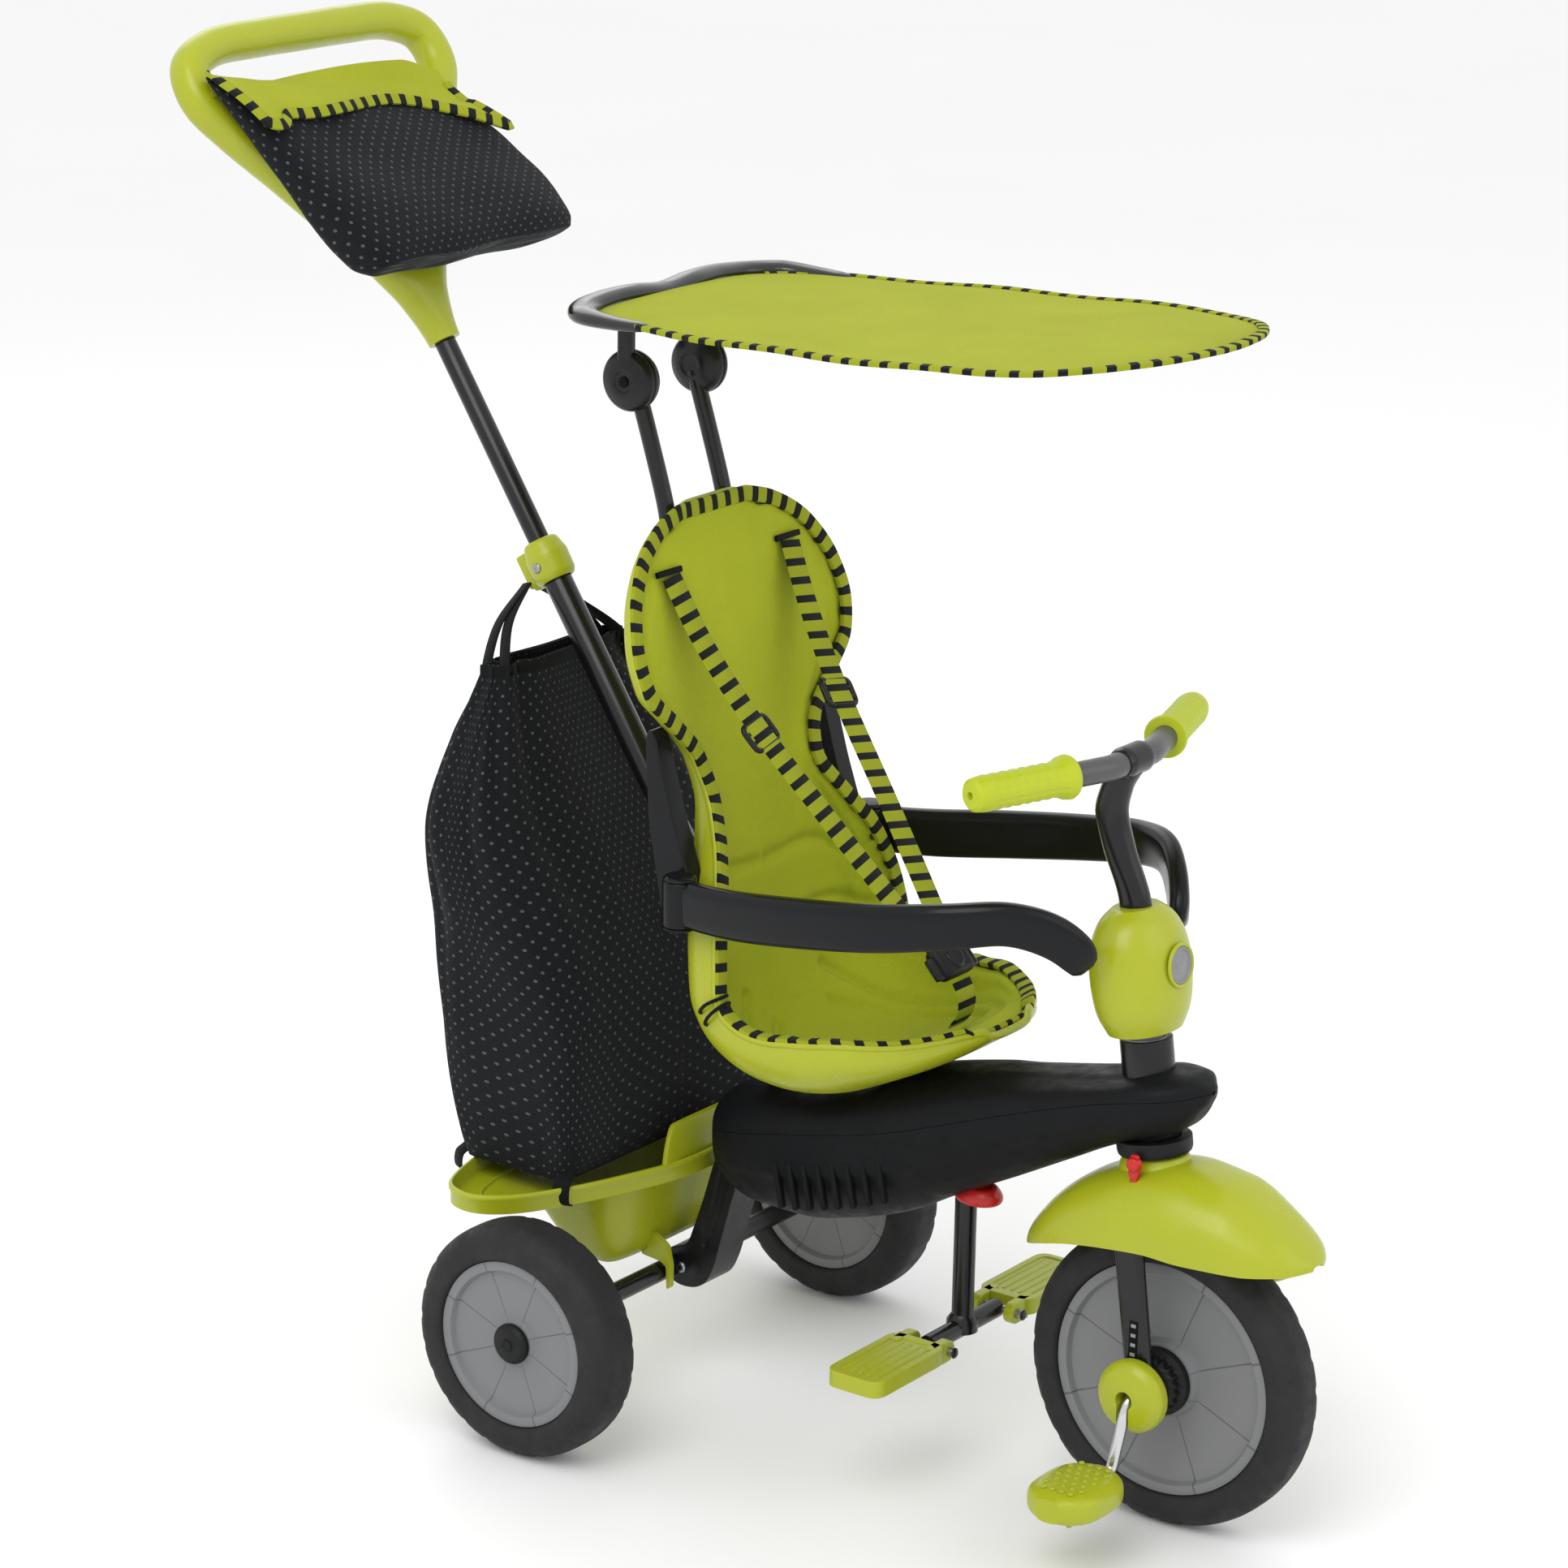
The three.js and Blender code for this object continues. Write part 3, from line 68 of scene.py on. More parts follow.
# ---------------------------------------------------------------- curves and tables
def smooth(points, count, closed=False):
    """Evenly spaced points along a smooth curve through the given ones."""
    points = np.array(points, float)
    if closed:
        points = np.vstack([points[-1:], points, points[:2]])
    else:
        points = np.vstack([2 * points[0] - points[1], points, 2 * points[-1] - points[-2]])
    dense = []
    for a, b, c, d in zip(points, points[1:], points[2:], points[3:]):
        steps = [max(np.linalg.norm(q - p), 1e-6) ** 0.5 for p, q in ((a, b), (b, c), (c, d))]
        t0, t1, t2, t3 = np.cumsum([0] + steps)
        for t in np.linspace(t1, t2, 24, endpoint=False):
            ab = a + (b - a) * (t - t0) / (t1 - t0)
            bc = b + (c - b) * (t - t1) / (t2 - t1)
            cd = c + (d - c) * (t - t2) / (t3 - t2)
            abc = ab + (bc - ab) * (t - t0) / (t2 - t0)
            bcd = bc + (cd - bc) * (t - t1) / (t3 - t1)
            dense.append(abc + (bcd - abc) * (t - t1) / (t2 - t1))
    dense.append(points[-2])
    return even(dense, count + 1)[:-1] if closed else even(dense, count)


def even(points, count):
    """The same polyline with its points spaced evenly."""
    points = np.array(points, float)
    length = np.concatenate([[0], np.cumsum(np.linalg.norm(np.diff(points, axis=0), axis=1))])
    at = np.linspace(0, length[-1], count)
    return np.stack([np.interp(at, length, column) for column in points.T], axis=1)


def rounded(points, radius, steps=4, closed=False):
    """A polyline with its corners rounded off."""
    points = [np.array(p, float) for p in points]
    result = [] if closed else [points[0]]
    inner = range(len(points)) if closed else range(1, len(points) - 1)
    for i in inner:
        before, corner, after = points[i - 1], points[i], points[(i + 1) % len(points)]
        reach = [min(radius, np.linalg.norm(p - corner) / 2.05) for p in (before, after)]
        start = corner + unit(before - corner) * reach[0]
        end = corner + unit(after - corner) * reach[1]
        for t in np.linspace(0, 1, steps + 1):
            result.append((1 - t) ** 2 * start + 2 * t * (1 - t) * corner + t * t * end)
    return result if closed else result + [points[-1]]


def read(rows, key):
    """Smooth reading of a table whose first column is the key, without overshoot."""
    rows = np.array(rows, float)
    keys, values = rows[:, 0], rows[:, 1:]
    step = np.diff(keys)[:, None]
    slope = np.diff(values, axis=0) / step
    knot = np.zeros_like(values)
    same = slope[1:] * slope[:-1] > 0
    knot[1:-1][same] = (2 * slope[1:] * slope[:-1] / np.where(same, slope[1:] + slope[:-1], 1))[same]
    knot[0], knot[-1] = slope[0], slope[-1]
    i = int(np.clip(np.searchsorted(keys, key) - 1, 0, len(keys) - 2))
    t = float(np.clip((key - keys[i]) / step[i, 0], 0, 1))
    a, b = values[i], values[i + 1]
    ma, mb = knot[i] * step[i], knot[i + 1] * step[i]
    return (
        (2 * t**3 - 3 * t**2 + 1) * a + (t**3 - 2 * t**2 + t) * ma
        + (3 * t**2 - 2 * t**3) * b + (t**3 - t**2) * mb
    )


def power(value, n):
    """Sine or cosine bent towards a rounded rectangle."""
    return math.copysign(abs(value) ** (2 / n), value)


def ease(value, low, high):
    """0 below low, 1 above high, smooth between."""
    t = min(1, max(0, (value - low) / (high - low)))
    return t * t * (3 - 2 * t)


def bump(value, centre, width):
    return math.exp(-(((value - centre) / width) ** 2))


# ---------------------------------------------------------------- mesh makers
def piece(name, vertices, faces, material, body, uv=None, sharp=35):
    """A mesh piece riding on a body. Vertices in millimetres; uv holds one pair for each face corner."""
    mesh = bpy.data.meshes.new(name)
    placed = (np.array(vertices, float) + vec(SHIFT_X, 0, 0)) / 1000
    mesh.from_pydata(placed.tolist(), [], faces)
    if uv is not None:
        layer = mesh.uv_layers.new(name="UVMap")
        layer.data.foreach_set("uv", np.array(uv, np.float32).ravel())
    shape = bmesh.new()
    shape.from_mesh(mesh)
    bmesh.ops.remove_doubles(shape, verts=shape.verts, dist=1e-6)
    bmesh.ops.recalc_face_normals(shape, faces=shape.faces)
    shape.to_mesh(mesh)
    shape.free()
    mesh.polygons.foreach_set("use_smooth", [True] * len(mesh.polygons))
    mesh.set_sharp_from_angle(angle=math.radians(sharp))
    mesh.materials.append(material)
    thing = bpy.data.objects.new(name, mesh)
    bpy.context.scene.collection.objects.link(thing)
    if body:
        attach(thing, body)
    return thing


def skin(name, grid, material, body, ring=False, loop=False, caps=True, fractions=False, sharp=35):
    """A surface through rows of points. ring closes each row; loop joins the last row to the first."""
    grid = np.array(grid, float)
    rows, columns = grid.shape[:2]
    wide = np.concatenate([grid, grid[:, :1]], axis=1) if ring else grid
    long = np.concatenate([grid, grid[:1]], axis=0) if loop else grid
    u = np.concatenate([[0], np.cumsum(np.linalg.norm(np.diff(wide, axis=1), axis=2).mean(0))]) / 1000
    v = np.concatenate([[0], np.cumsum(np.linalg.norm(np.diff(long, axis=0), axis=2).mean(1))]) / 1000
    if fractions:
        u, v = u / u[-1], v / v[-1]
    faces, uv = [], []
    for r in range(rows if loop else rows - 1):
        for c in range(columns if ring else columns - 1):
            right, down = (c + 1) % columns, (r + 1) % rows
            faces.append((r * columns + c, r * columns + right, down * columns + right, down * columns + c))
            uv += [(u[c], v[r]), (u[c + 1], v[r]), (u[c + 1], v[r + 1]), (u[c], v[r + 1])]
    vertices = grid.reshape(-1, 3)
    if ring and caps and not loop:
        for row, end in ((0, v[0]), (rows - 1, v[-1])):
            centre = len(vertices)
            vertices = np.vstack([vertices, grid[row].mean(0)])
            for c in range(columns):
                faces.append((centre, row * columns + c, row * columns + (c + 1) % columns))
                uv += [(u[c], end), (u[c], end), (u[c + 1], end)]
    return piece(name, vertices, faces, material, body, uv, sharp)


def frames_along(path, closed=False):
    """Two unit vectors across a path at each of its points, without twist."""
    tangents = np.gradient(path, axis=0)
    if closed:
        tangents = np.roll(path, -1, axis=0) - np.roll(path, 1, axis=0)
    across = np.cross(tangents[0], vec(0.13, 0.99, 0.05))
    result = []
    for tangent in tangents:
        tangent = unit(tangent)
        across = unit(across - tangent * across.dot(tangent))
        result.append((across, np.cross(tangent, across)))
    return result


def tube(name, path, radius, material, body, sides=24, closed=False):
    """A round tube along given points; radius is a number or a list of (fraction, radius)."""
    path = np.array(path, float)
    rings = []
    for i, (one, two) in enumerate(frames_along(path, closed)):
        at = i / (len(path) - 1)
        r = radius if np.isscalar(radius) else np.interp(at, *zip(*radius))
        turns = [2 * math.pi * k / sides for k in range(sides)]
        rings.append([path[i] + r * (math.cos(a) * one + math.sin(a) * two) for a in turns])
    return skin(name, rings, material, body, ring=True, loop=closed)


def lathe(
    name, profile, centre, axis, material, body, sides=64, sharp=35, loop=False, wide=1, deep=1, dent=None
):
    """A turned body: profile holds (radius, distance along the axis); dent adds to the radius."""
    axis = unit(np.array(axis, float))
    one = unit(np.cross(axis, vec(0, 0, 1)) if abs(axis[2]) < 0.9 else np.cross(axis, vec(0, 1, 0)))
    two = np.cross(axis, one)
    rings = []
    for radius, along in profile:
        ring = []
        for k in range(sides):
            a = 2 * math.pi * k / sides
            r = max(radius, 0.001) + (dent(k, radius, along) if dent else 0)
            ring.append(centre + axis * along + r * (deep * math.cos(a) * one + wide * math.sin(a) * two))
        rings.append(ring)
    return skin(
        name, rings, material, body, ring=True, loop=loop, caps=not loop, fractions=True, sharp=sharp
    )


def bevel(thing, width, segments=3):
    modifier = thing.modifiers.new("bevel", "BEVEL")
    modifier.width = width / 1000
    modifier.segments = segments
    modifier.limit_method = "ANGLE"
    modifier.angle_limit = math.radians(38)
    modifier.harden_normals = False
    return thing


def prism(name, outline, across, material, body, corner=1.5, axes=(0, 2, 1)):
    """An outline pushed straight through, from across[0] to across[1] along the third of the axes."""
    outline = np.array(outline, float)
    vertices = []
    for depth in across:
        for a, b in outline:
            point = vec(0, 0, 0)
            point[axes[0]], point[axes[1]], point[axes[2]] = a, b, depth
            vertices.append(point)
    n = len(outline)
    faces = [tuple(range(n)), tuple(range(n, 2 * n))]
    faces += [(i, (i + 1) % n, n + (i + 1) % n, n + i) for i in range(n)]
    thing = piece(name, vertices, faces, material, body)
    return bevel(thing, corner) if corner else thing


def block(name, size, centre, material, body, turn=(0, 0, 0), corner=1.5):
    """A box with rounded edges, turned by three angles in degrees."""
    corners = [(x, y, z) for x in (-0.5, 0.5) for y in (-0.5, 0.5) for z in (-0.5, 0.5)]
    turned = Euler([math.radians(a) for a in turn]).to_matrix()
    vertices = [np.array(turned @ Vector(vec(*c) * vec(*size))) + centre for c in corners]
    faces = [(0, 1, 3, 2), (4, 6, 7, 5), (0, 4, 5, 1), (2, 3, 7, 6), (0, 2, 6, 4), (1, 5, 7, 3)]
    return bevel(piece(name, vertices, faces, material, body), corner)


def band(name, path, normals, width, thickness, material, body, closed=False):
    """A flat strap along a path; normals point out of its face. Its stripes run across it."""
    path = np.array(path, float)
    tangents = np.roll(path, -1, axis=0) - np.roll(path, 1, axis=0)
    if not closed:
        tangents = np.gradient(path, axis=0)
    rows = []
    for p, t, n in zip(path, tangents, normals):
        n = unit(np.array(n, float))
        side = unit(np.cross(t, n))
        half = width / 2
        ring = []
        for a, h in (
            (-1, 0), (-0.9, 0.8), (-0.5, 1), (0.5, 1), (0.9, 0.8), (1, 0), (0.9, -0.8), (-0.9, -0.8)
        ):
            ring.append(p + side * a * half + n * h * thickness / 2)
        rows.append(ring)
    return skin(name, rows, material, body, ring=True, loop=closed, sharp=60)


# ---------------------------------------------------------------- materials
def node(tree, kind, inputs=None, **settings):
    """A shader node with its settings, and inputs given as values or as other nodes' sockets."""
    made = tree.nodes.new(kind)
    for key, value in settings.items():
        setattr(made, key, value)
    for key, value in (inputs or {}).items():
        socket = made.inputs[key]
        if isinstance(value, bpy.types.NodeSocket):
            tree.links.new(value, socket)
        else:
            socket.default_value = value
    return made


def maths(tree, operation, *values):
    return node(tree, "ShaderNodeMath", dict(enumerate(values)), operation=operation).outputs[0]


def start_material(name, rough, metallic=0.0, coat=0.0, sheen=0.0, specular=0.5):
    made = bpy.data.materials.new(name)
    made.use_nodes = True
    tree = made.node_tree
    shader = tree.nodes["Principled BSDF"]
    shader.inputs["Roughness"].default_value = rough
    shader.inputs["Metallic"].default_value = metallic
    shader.inputs["Coat Weight"].default_value = coat
    shader.inputs["Coat Roughness"].default_value = 0.12
    shader.inputs["Sheen Weight"].default_value = sheen
    shader.inputs["Sheen Roughness"].default_value = 0.5
    shader.inputs["Specular IOR Level"].default_value = specular
    where = node(tree, "ShaderNodeTexCoord")
    return made, tree, shader, where


def noise(tree, vector, scale, detail=3.0, rough=0.5):
    inputs = {"Vector": vector, "Scale": scale, "Detail": detail, "Roughness": rough}
    return node(tree, "ShaderNodeTexNoise", inputs).outputs["Fac"]


def ramp(tree, value, low, high, start=0.0, end=1.0):
    inputs = {"Value": value, "From Min": low, "From Max": high, "To Min": start, "To Max": end}
    return node(tree, "ShaderNodeMapRange", inputs).outputs["Result"]


def mix(tree, factor, one, two):
    made = node(tree, "ShaderNodeMix", data_type="RGBA")
    for socket, value in ((made.inputs[0], factor), (made.inputs[6], one), (made.inputs[7], two)):
        if isinstance(value, bpy.types.NodeSocket):
            tree.links.new(value, socket)
        else:
            socket.default_value = value
    return made.outputs[2]


def shade(colour, amount):
    return (*(min(1, c * amount) for c in colour), 1)


def add_bump(tree, shader, height, distance):
    made = node(tree, "ShaderNodeBump", {"Height": height, "Strength": 1.0, "Distance": distance})
    tree.links.new(made.outputs["Normal"], shader.inputs["Normal"])


def plastic(
    name, colour, rough, coat=0.0, metallic=0.0, grain=0.00006, uneven=0.06, specular=0.4, shaded_groove=None
):
    """Moulded plastic or paint: faint clouding, fine grain, scuffs that change the gloss."""
    made, tree, shader, where = start_material(name, rough, metallic, coat, specular=specular)
    place = where.outputs["Object"]
    cloud = noise(tree, place, 9.0)
    colour_out = mix(tree, cloud, shade(colour, 1 - uneven), shade(colour, 1 + uneven))
    scuff = ramp(tree, noise(tree, place, 55.0, 6.0, 0.7), 0.35, 0.8, rough * 0.8, min(1, rough * 1.45))
    tree.links.new(scuff, shader.inputs["Roughness"])
    height = noise(tree, place, 1400.0, 2.0)
    if shaded_groove is not None:
        line = shaded_groove(tree, where)
        # The groove lines are painted darker than the plastic: painted shade in the sunk grooves.
        colour_out = mix(tree, line, colour_out, shade(colour, 0.55))
        height = maths(tree, "SUBTRACT", height, maths(tree, "MULTIPLY", line, 8.0))
    tree.links.new(colour_out, shader.inputs["Base Color"])
    add_bump(tree, shader, height, grain)
    return made


def radial_seams(count, width):
    """Thin lines from the hub to the rim, for a turned piece."""
    def line(tree, where):
        across = node(tree, "ShaderNodeSeparateXYZ", {"Vector": where.outputs["UV"]}).outputs[0]
        part = maths(tree, "FRACT", maths(tree, "MULTIPLY", across, float(count)))
        return maths(tree, "LESS_THAN", maths(tree, "ABSOLUTE", maths(tree, "SUBTRACT", part, 0.5)), width)
    return line


def weave_height(tree, place, pitch):
    """Over-and-under threads from two crossed waves."""
    parts = node(tree, "ShaderNodeSeparateXYZ", {"Vector": place})
    k = 2 * math.pi / pitch
    both = maths(tree, "ADD", parts.outputs[0], maths(tree, "MULTIPLY", parts.outputs[2], 0.8))
    one = maths(tree, "SINE", maths(tree, "MULTIPLY", both, k))
    two = maths(tree, "SINE", maths(tree, "MULTIPLY", parts.outputs[1], k))
    return maths(tree, "MULTIPLY", one, two)


def fabric(name, colour, pitch=0.0013, pattern=None, second=None, wrinkle=0.0012, rough=0.85, use_uv=True):
    """Woven cloth: threads, slight fading, soft wrinkles and, if given, a printed pattern."""
    made, tree, shader, where = start_material(name, rough, sheen=0.04, specular=0.12)
    place = where.outputs["Object"]
    threads = weave_height(tree, where.outputs["UV"] if use_uv else place, pitch)
    cloud = noise(tree, place, 14.0, 4.0)
    base = mix(tree, cloud, shade(colour, 0.86), shade(colour, 1.1))
    base = mix(tree, ramp(tree, threads, -1.0, 1.0, 0.0, 0.35), base, shade(colour, 0.7))
    if pattern is not None:
        base = mix(tree, pattern(tree, where), base, (*second, 1))
    tree.links.new(base, shader.inputs["Base Color"])
    folds = noise(tree, place, 28.0, 3.0, 0.55)
    height = maths(
        tree, "ADD", maths(tree, "MULTIPLY", threads, 0.12), maths(tree, "MULTIPLY", folds, wrinkle * 1000)
    )
    add_bump(tree, shader, height, 0.001)
    return made


def dots(pitch, radius):
    """Small dots in staggered rows."""
    def pattern(tree, where):
        scaled = node(
            tree, "ShaderNodeVectorMath", {0: where.outputs["UV"], "Scale": 1 / pitch}, operation="SCALE"
        )
        found = []
        for offset in (0.0, 0.5):
            moved = node(
                tree, "ShaderNodeVectorMath", {0: scaled.outputs[0], 1: (offset, offset, 0)},
                operation="ADD",
            )
            part = node(tree, "ShaderNodeVectorMath", {0: moved.outputs[0]}, operation="FRACTION")
            centred = node(
                tree, "ShaderNodeVectorMath", {0: part.outputs[0], 1: (0.5, 0.5, 0)}, operation="SUBTRACT"
            )
            length = node(
                tree, "ShaderNodeVectorMath", {0: centred.outputs[0]}, operation="LENGTH"
            ).outputs["Value"]
            found.append(maths(tree, "LESS_THAN", length, radius / pitch))
        return maths(tree, "MAXIMUM", *found)
    return pattern


def bars(pitch, share):
    """Bars across a strap, whose length runs along V."""
    def pattern(tree, where):
        parts = node(tree, "ShaderNodeSeparateXYZ", {"Vector": where.outputs["UV"]})
        part = maths(tree, "FRACT", maths(tree, "DIVIDE", parts.outputs[1], pitch))
        return maths(tree, "LESS_THAN", part, share)
    return pattern


LIME = (0.365, 0.405, 0.012)
LIME_CLOTH = (0.33, 0.37, 0.018)
BLACK = (0.0065, 0.007, 0.008)
DARK_CLOTH = (0.0085, 0.0095, 0.0115)
look = {
    "lime": plastic("lime_plastic_gloss", LIME, 0.3, coat=0.1),
    "lime_grip": plastic("lime_grip_rubber", (0.42, 0.49, 0.010), 0.45),
    "black": plastic("black_plastic_gloss", BLACK, 0.3, uneven=0.15, specular=0.3),
    "body": plastic("black_plastic_body", BLACK, 0.5, uneven=0.15, grain=0.0001, specular=0.12),
    "bow": plastic("black_plastic_bow", BLACK, 0.14, uneven=0.1, coat=0.25, specular=0.5),
    "arm": plastic("black_plastic_arm", BLACK, 0.2, uneven=0.1, specular=0.2),
    "black_satin": plastic("black_plastic_satin", BLACK, 0.5, uneven=0.15, grain=0.0001, specular=0.25),
    "steel": plastic("black_paint_on_steel", (0.006, 0.006, 0.007), 0.2, uneven=0.2, specular=0.4),
    "bar": plastic("grey_paint_on_steel", (0.085, 0.083, 0.088), 0.3, metallic=0.2, specular=0.4),
    # The disc's seam lines are sunk and painted darker: painted shade in the seams.
    "grey": plastic(
        "grey_plastic_disc", (0.19, 0.193, 0.198), 0.42, specular=0.3, shaded_groove=radial_seams(8, 0.011)
    ),
    "badge": plastic("grey_plastic_badge", (0.24, 0.245, 0.25), 0.3, metallic=0.4),
    "chrome": plastic("plated_wire", (0.62, 0.62, 0.63), 0.14, metallic=1.0),
    "screw": plastic("plated_screw", (0.35, 0.35, 0.36), 0.3, metallic=0.9),
    "red": plastic("red_plastic_gloss", (0.50, 0.012, 0.010), 0.28, coat=0.1),
    "tyre": plastic(
        "foam_tyre_tread", (0.019, 0.019, 0.020), 0.62, grain=0.00025, uneven=0.2, specular=0.25
    ),
    # A near-black colour put into slots and hollows: painted shade.
    "hole": plastic("painted_recess_shade", (0.004, 0.004, 0.004), 0.6, specular=0.1),
    "liner": fabric("lime_liner_cloth", (0.41, 0.46, 0.022), pitch=0.0016, use_uv=False),
    "canopy": fabric("lime_canopy_cloth", (0.37, 0.41, 0.020), pitch=0.0014, wrinkle=0.0004),
    "flap": fabric("lime_flap_cloth", (0.37, 0.41, 0.020), pitch=0.0014),
    "piping": fabric(
        "striped_piping", LIME_CLOTH, pattern=bars(0.0175, 0.42), second=DARK_CLOTH, wrinkle=0.0003
    ),
    "strap": fabric(
        "striped_webbing", LIME_CLOTH, pattern=bars(0.0158, 0.4), second=DARK_CLOTH, wrinkle=0.0003
    ),
    "dots": fabric(
        "dotted_dark_cloth", DARK_CLOTH, pitch=0.0012, pattern=dots(0.0125, 0.00125),
        second=(0.075, 0.083, 0.088)
    ),
    "webbing": fabric("dark_webbing", (0.007, 0.0075, 0.008), pitch=0.0018, wrinkle=0.0003),
}


# ---------------------------------------------------------------- mesh operations
def bake(thing):
    """The modifiers' result made into the piece's own mesh."""
    graph = bpy.context.evaluated_depsgraph_get()
    mesh = bpy.data.meshes.new_from_object(thing.evaluated_get(graph))
    thing.modifiers.clear()
    thing.data = mesh
    return thing


def get_vectors(mesh, kind="co"):
    """The mesh's vertex positions, or its normals, one row each."""
    values = np.zeros(len(mesh.vertices) * 3, np.float32)
    mesh.vertices.foreach_get(kind, values)
    return values.reshape(-1, 3).astype(float)


def set_positions(mesh, points):
    values = points.astype(np.float32).ravel()
    mesh.vertices.foreach_set("co", values)


def search_tree(points):
    """A search tree of points given in millimetres."""
    tree = KDTree(len(points))
    for i, p in enumerate(points):
        tree.insert((np.array(p) + vec(SHIFT_X, 0, 0)) / 1000, i)
    tree.balance()
    return tree


def carve(thing, *cutters, sharp=35):
    """Takes the cutters' shapes out of the piece and removes them."""
    for cutter in cutters:
        modifier = thing.modifiers.new("cut", "BOOLEAN")
        modifier.operation = "DIFFERENCE"
        modifier.solver = "EXACT"
        modifier.object = cutter
    bake(thing)
    for cutter in cutters:
        bpy.data.objects.remove(cutter)
    thing.data.polygons.foreach_set("use_smooth", [True] * len(thing.data.polygons))
    thing.data.set_sharp_from_angle(angle=math.radians(sharp))
    return thing


def join(things):
    """Several pieces made into the first one."""
    for thing in things:
        bake(thing)
    with bpy.context.temp_override(
        active_object=things[0], object=things[0], selected_editable_objects=things
    ):
        bpy.ops.object.join()
    return things[0]


def plate(name, outer, inner, material, body, sharp=50):
    """A thin solid between two skins, each a grid of points."""
    outer, inner = np.array(outer, float), np.array(inner, float)
    rows, columns = outer.shape[:2]
    u = np.concatenate([[0], np.cumsum(np.linalg.norm(np.diff(outer, axis=1), axis=2).mean(0))]) / 1000
    v = np.concatenate([[0], np.cumsum(np.linalg.norm(np.diff(outer, axis=0), axis=2).mean(1))]) / 1000
    faces, uv = [], []

    def quad(*corners):
        faces.append(tuple((skin_index * rows + r) * columns + c for skin_index, r, c in corners))
        uv.extend((u[c], v[r]) for _, r, c in corners)

    for r in range(rows - 1):
        for c in range(columns - 1):
            for k in (0, 1):
                quad((k, r, c), (k, r, c + 1), (k, r + 1, c + 1), (k, r + 1, c))
        for c in (0, columns - 1):
            quad((0, r, c), (0, r + 1, c), (1, r + 1, c), (1, r, c))
    for c in range(columns - 1):
        for r in (0, rows - 1):
            quad((0, r, c), (0, r, c + 1), (1, r, c + 1), (1, r, c))
    vertices = np.vstack([outer.reshape(-1, 3), inner.reshape(-1, 3)])
    return piece(name, vertices, faces, material, body, uv, sharp)


# ---------------------------------------------------------------- shared places
REAR_AXLE_Z = REAR["radius"]
FRONT_AXLE_Z = FRONT["radius"]
STEER_AXIS = unit(vec(-math.tan(RAKE), 0, 1))


def steer_point(z):
    return vec(WHEELBASE - (z - FRONT_AXLE_Z) * math.tan(RAKE), 0, z)


def pole_point(z):
    return vec(114 - (z - 272) * 0.66, 0, z)


POLE_AXIS = unit(pole_point(1) - pole_point(0))
POLE_FRONT = vec(POLE_AXIS[2], 0, -POLE_AXIS[0])


def handle_point(s, y, n=0.0):
    """s up the pole from the socket, y across, n towards the front."""
    return pole_point(848) + POLE_AXIS * s + POLE_FRONT * n + vec(0, y, 0)


# ---------------------------------------------------------------- wheels
def tyre(name, wheel, y, body, notches):
    half, outer = wheel["width"] / 2, wheel["radius"]
    side = [(wheel["disc"] + 0.3, half), (outer - 10, half), (outer - 1.5, half - 9), (outer, half * 0.35)]
    corners = [(wheel["disc"] + 0.3, 0)] + [(r, -a) for r, a in side] + side[::-1]
    profile = rounded(corners, 6, steps=5, closed=True)

    def shoulder_cut(column, radius, along):
        inside = outer - 9 < radius < outer - 0.6 and abs(along) > half * 0.42
        turned = (column + (4 if along > 0 else 0)) % 8
        return -0.8 if inside and turned < 2 else 0.0

    centre = vec(0 if wheel is REAR else WHEELBASE, y, outer)
    return lathe(
        name, profile, centre, (0, 1, 0), look["tyre"], body, sides=8 * notches, loop=True,
        dent=shoulder_cut, sharp=60
    )


def wheel_disc(name, wheel, bore, y, body):
    face = wheel["width"] / 2 - 4
    web, lip = face - 7, wheel["disc"] - 7
    side = [
        (bore, wheel["hub_half"]), (wheel["hub"], wheel["hub_half"]), (wheel["hub"] + 3, web),
        (lip - 3, web + 1.5), (lip - 1, face), (wheel["disc"], face),
    ]
    profile = rounded(side + [(r, -a) for r, a in side[::-1]], 1.2, steps=2, closed=True)
    centre = vec(0 if wheel is REAR else WHEELBASE, y, wheel["radius"])
    return lathe(name, profile, centre, (0, 1, 0), look["grey"], body, sides=112, loop=True, sharp=30)


for side, sign in SIDES:
    body = f"rear_wheel_{side}"
    y = sign * REAR_Y
    centre = vec(0, y, REAR_AXLE_Z)
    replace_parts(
        tyre(f"rear_tyre_round_{side}", REAR, y, body, 24), f"rear_tyre_{side}"
    )
    disc = wheel_disc(f"rear_disc_moulded_{side}", REAR, 8.9, y, body)
    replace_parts(disc, f"rear_wheel_disc_{side}")
    profile = rounded([(0, 18.4), (14, 18.4), (17, 17.4), (17, 21.4), (13, 25.2), (0, 26.4)], 1.5, 3)
    cap = lathe(
        f"rear_cap_domed_{side}", profile, centre, (0, sign, 0), look["black_satin"], body, sides=48
    )
    slot_mark = lathe(
        f"rear_cap_recess_{side}", [(0, 26.2), (3.6, 26.2), (4.4, 27), (5.2, 27), (5.6, 25.5)], centre,
        (0, sign, 0),
        look["black_satin"], body, sides=24,
    )
    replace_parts(join([cap, slot_mark]), f"rear_hub_cap_{side}")

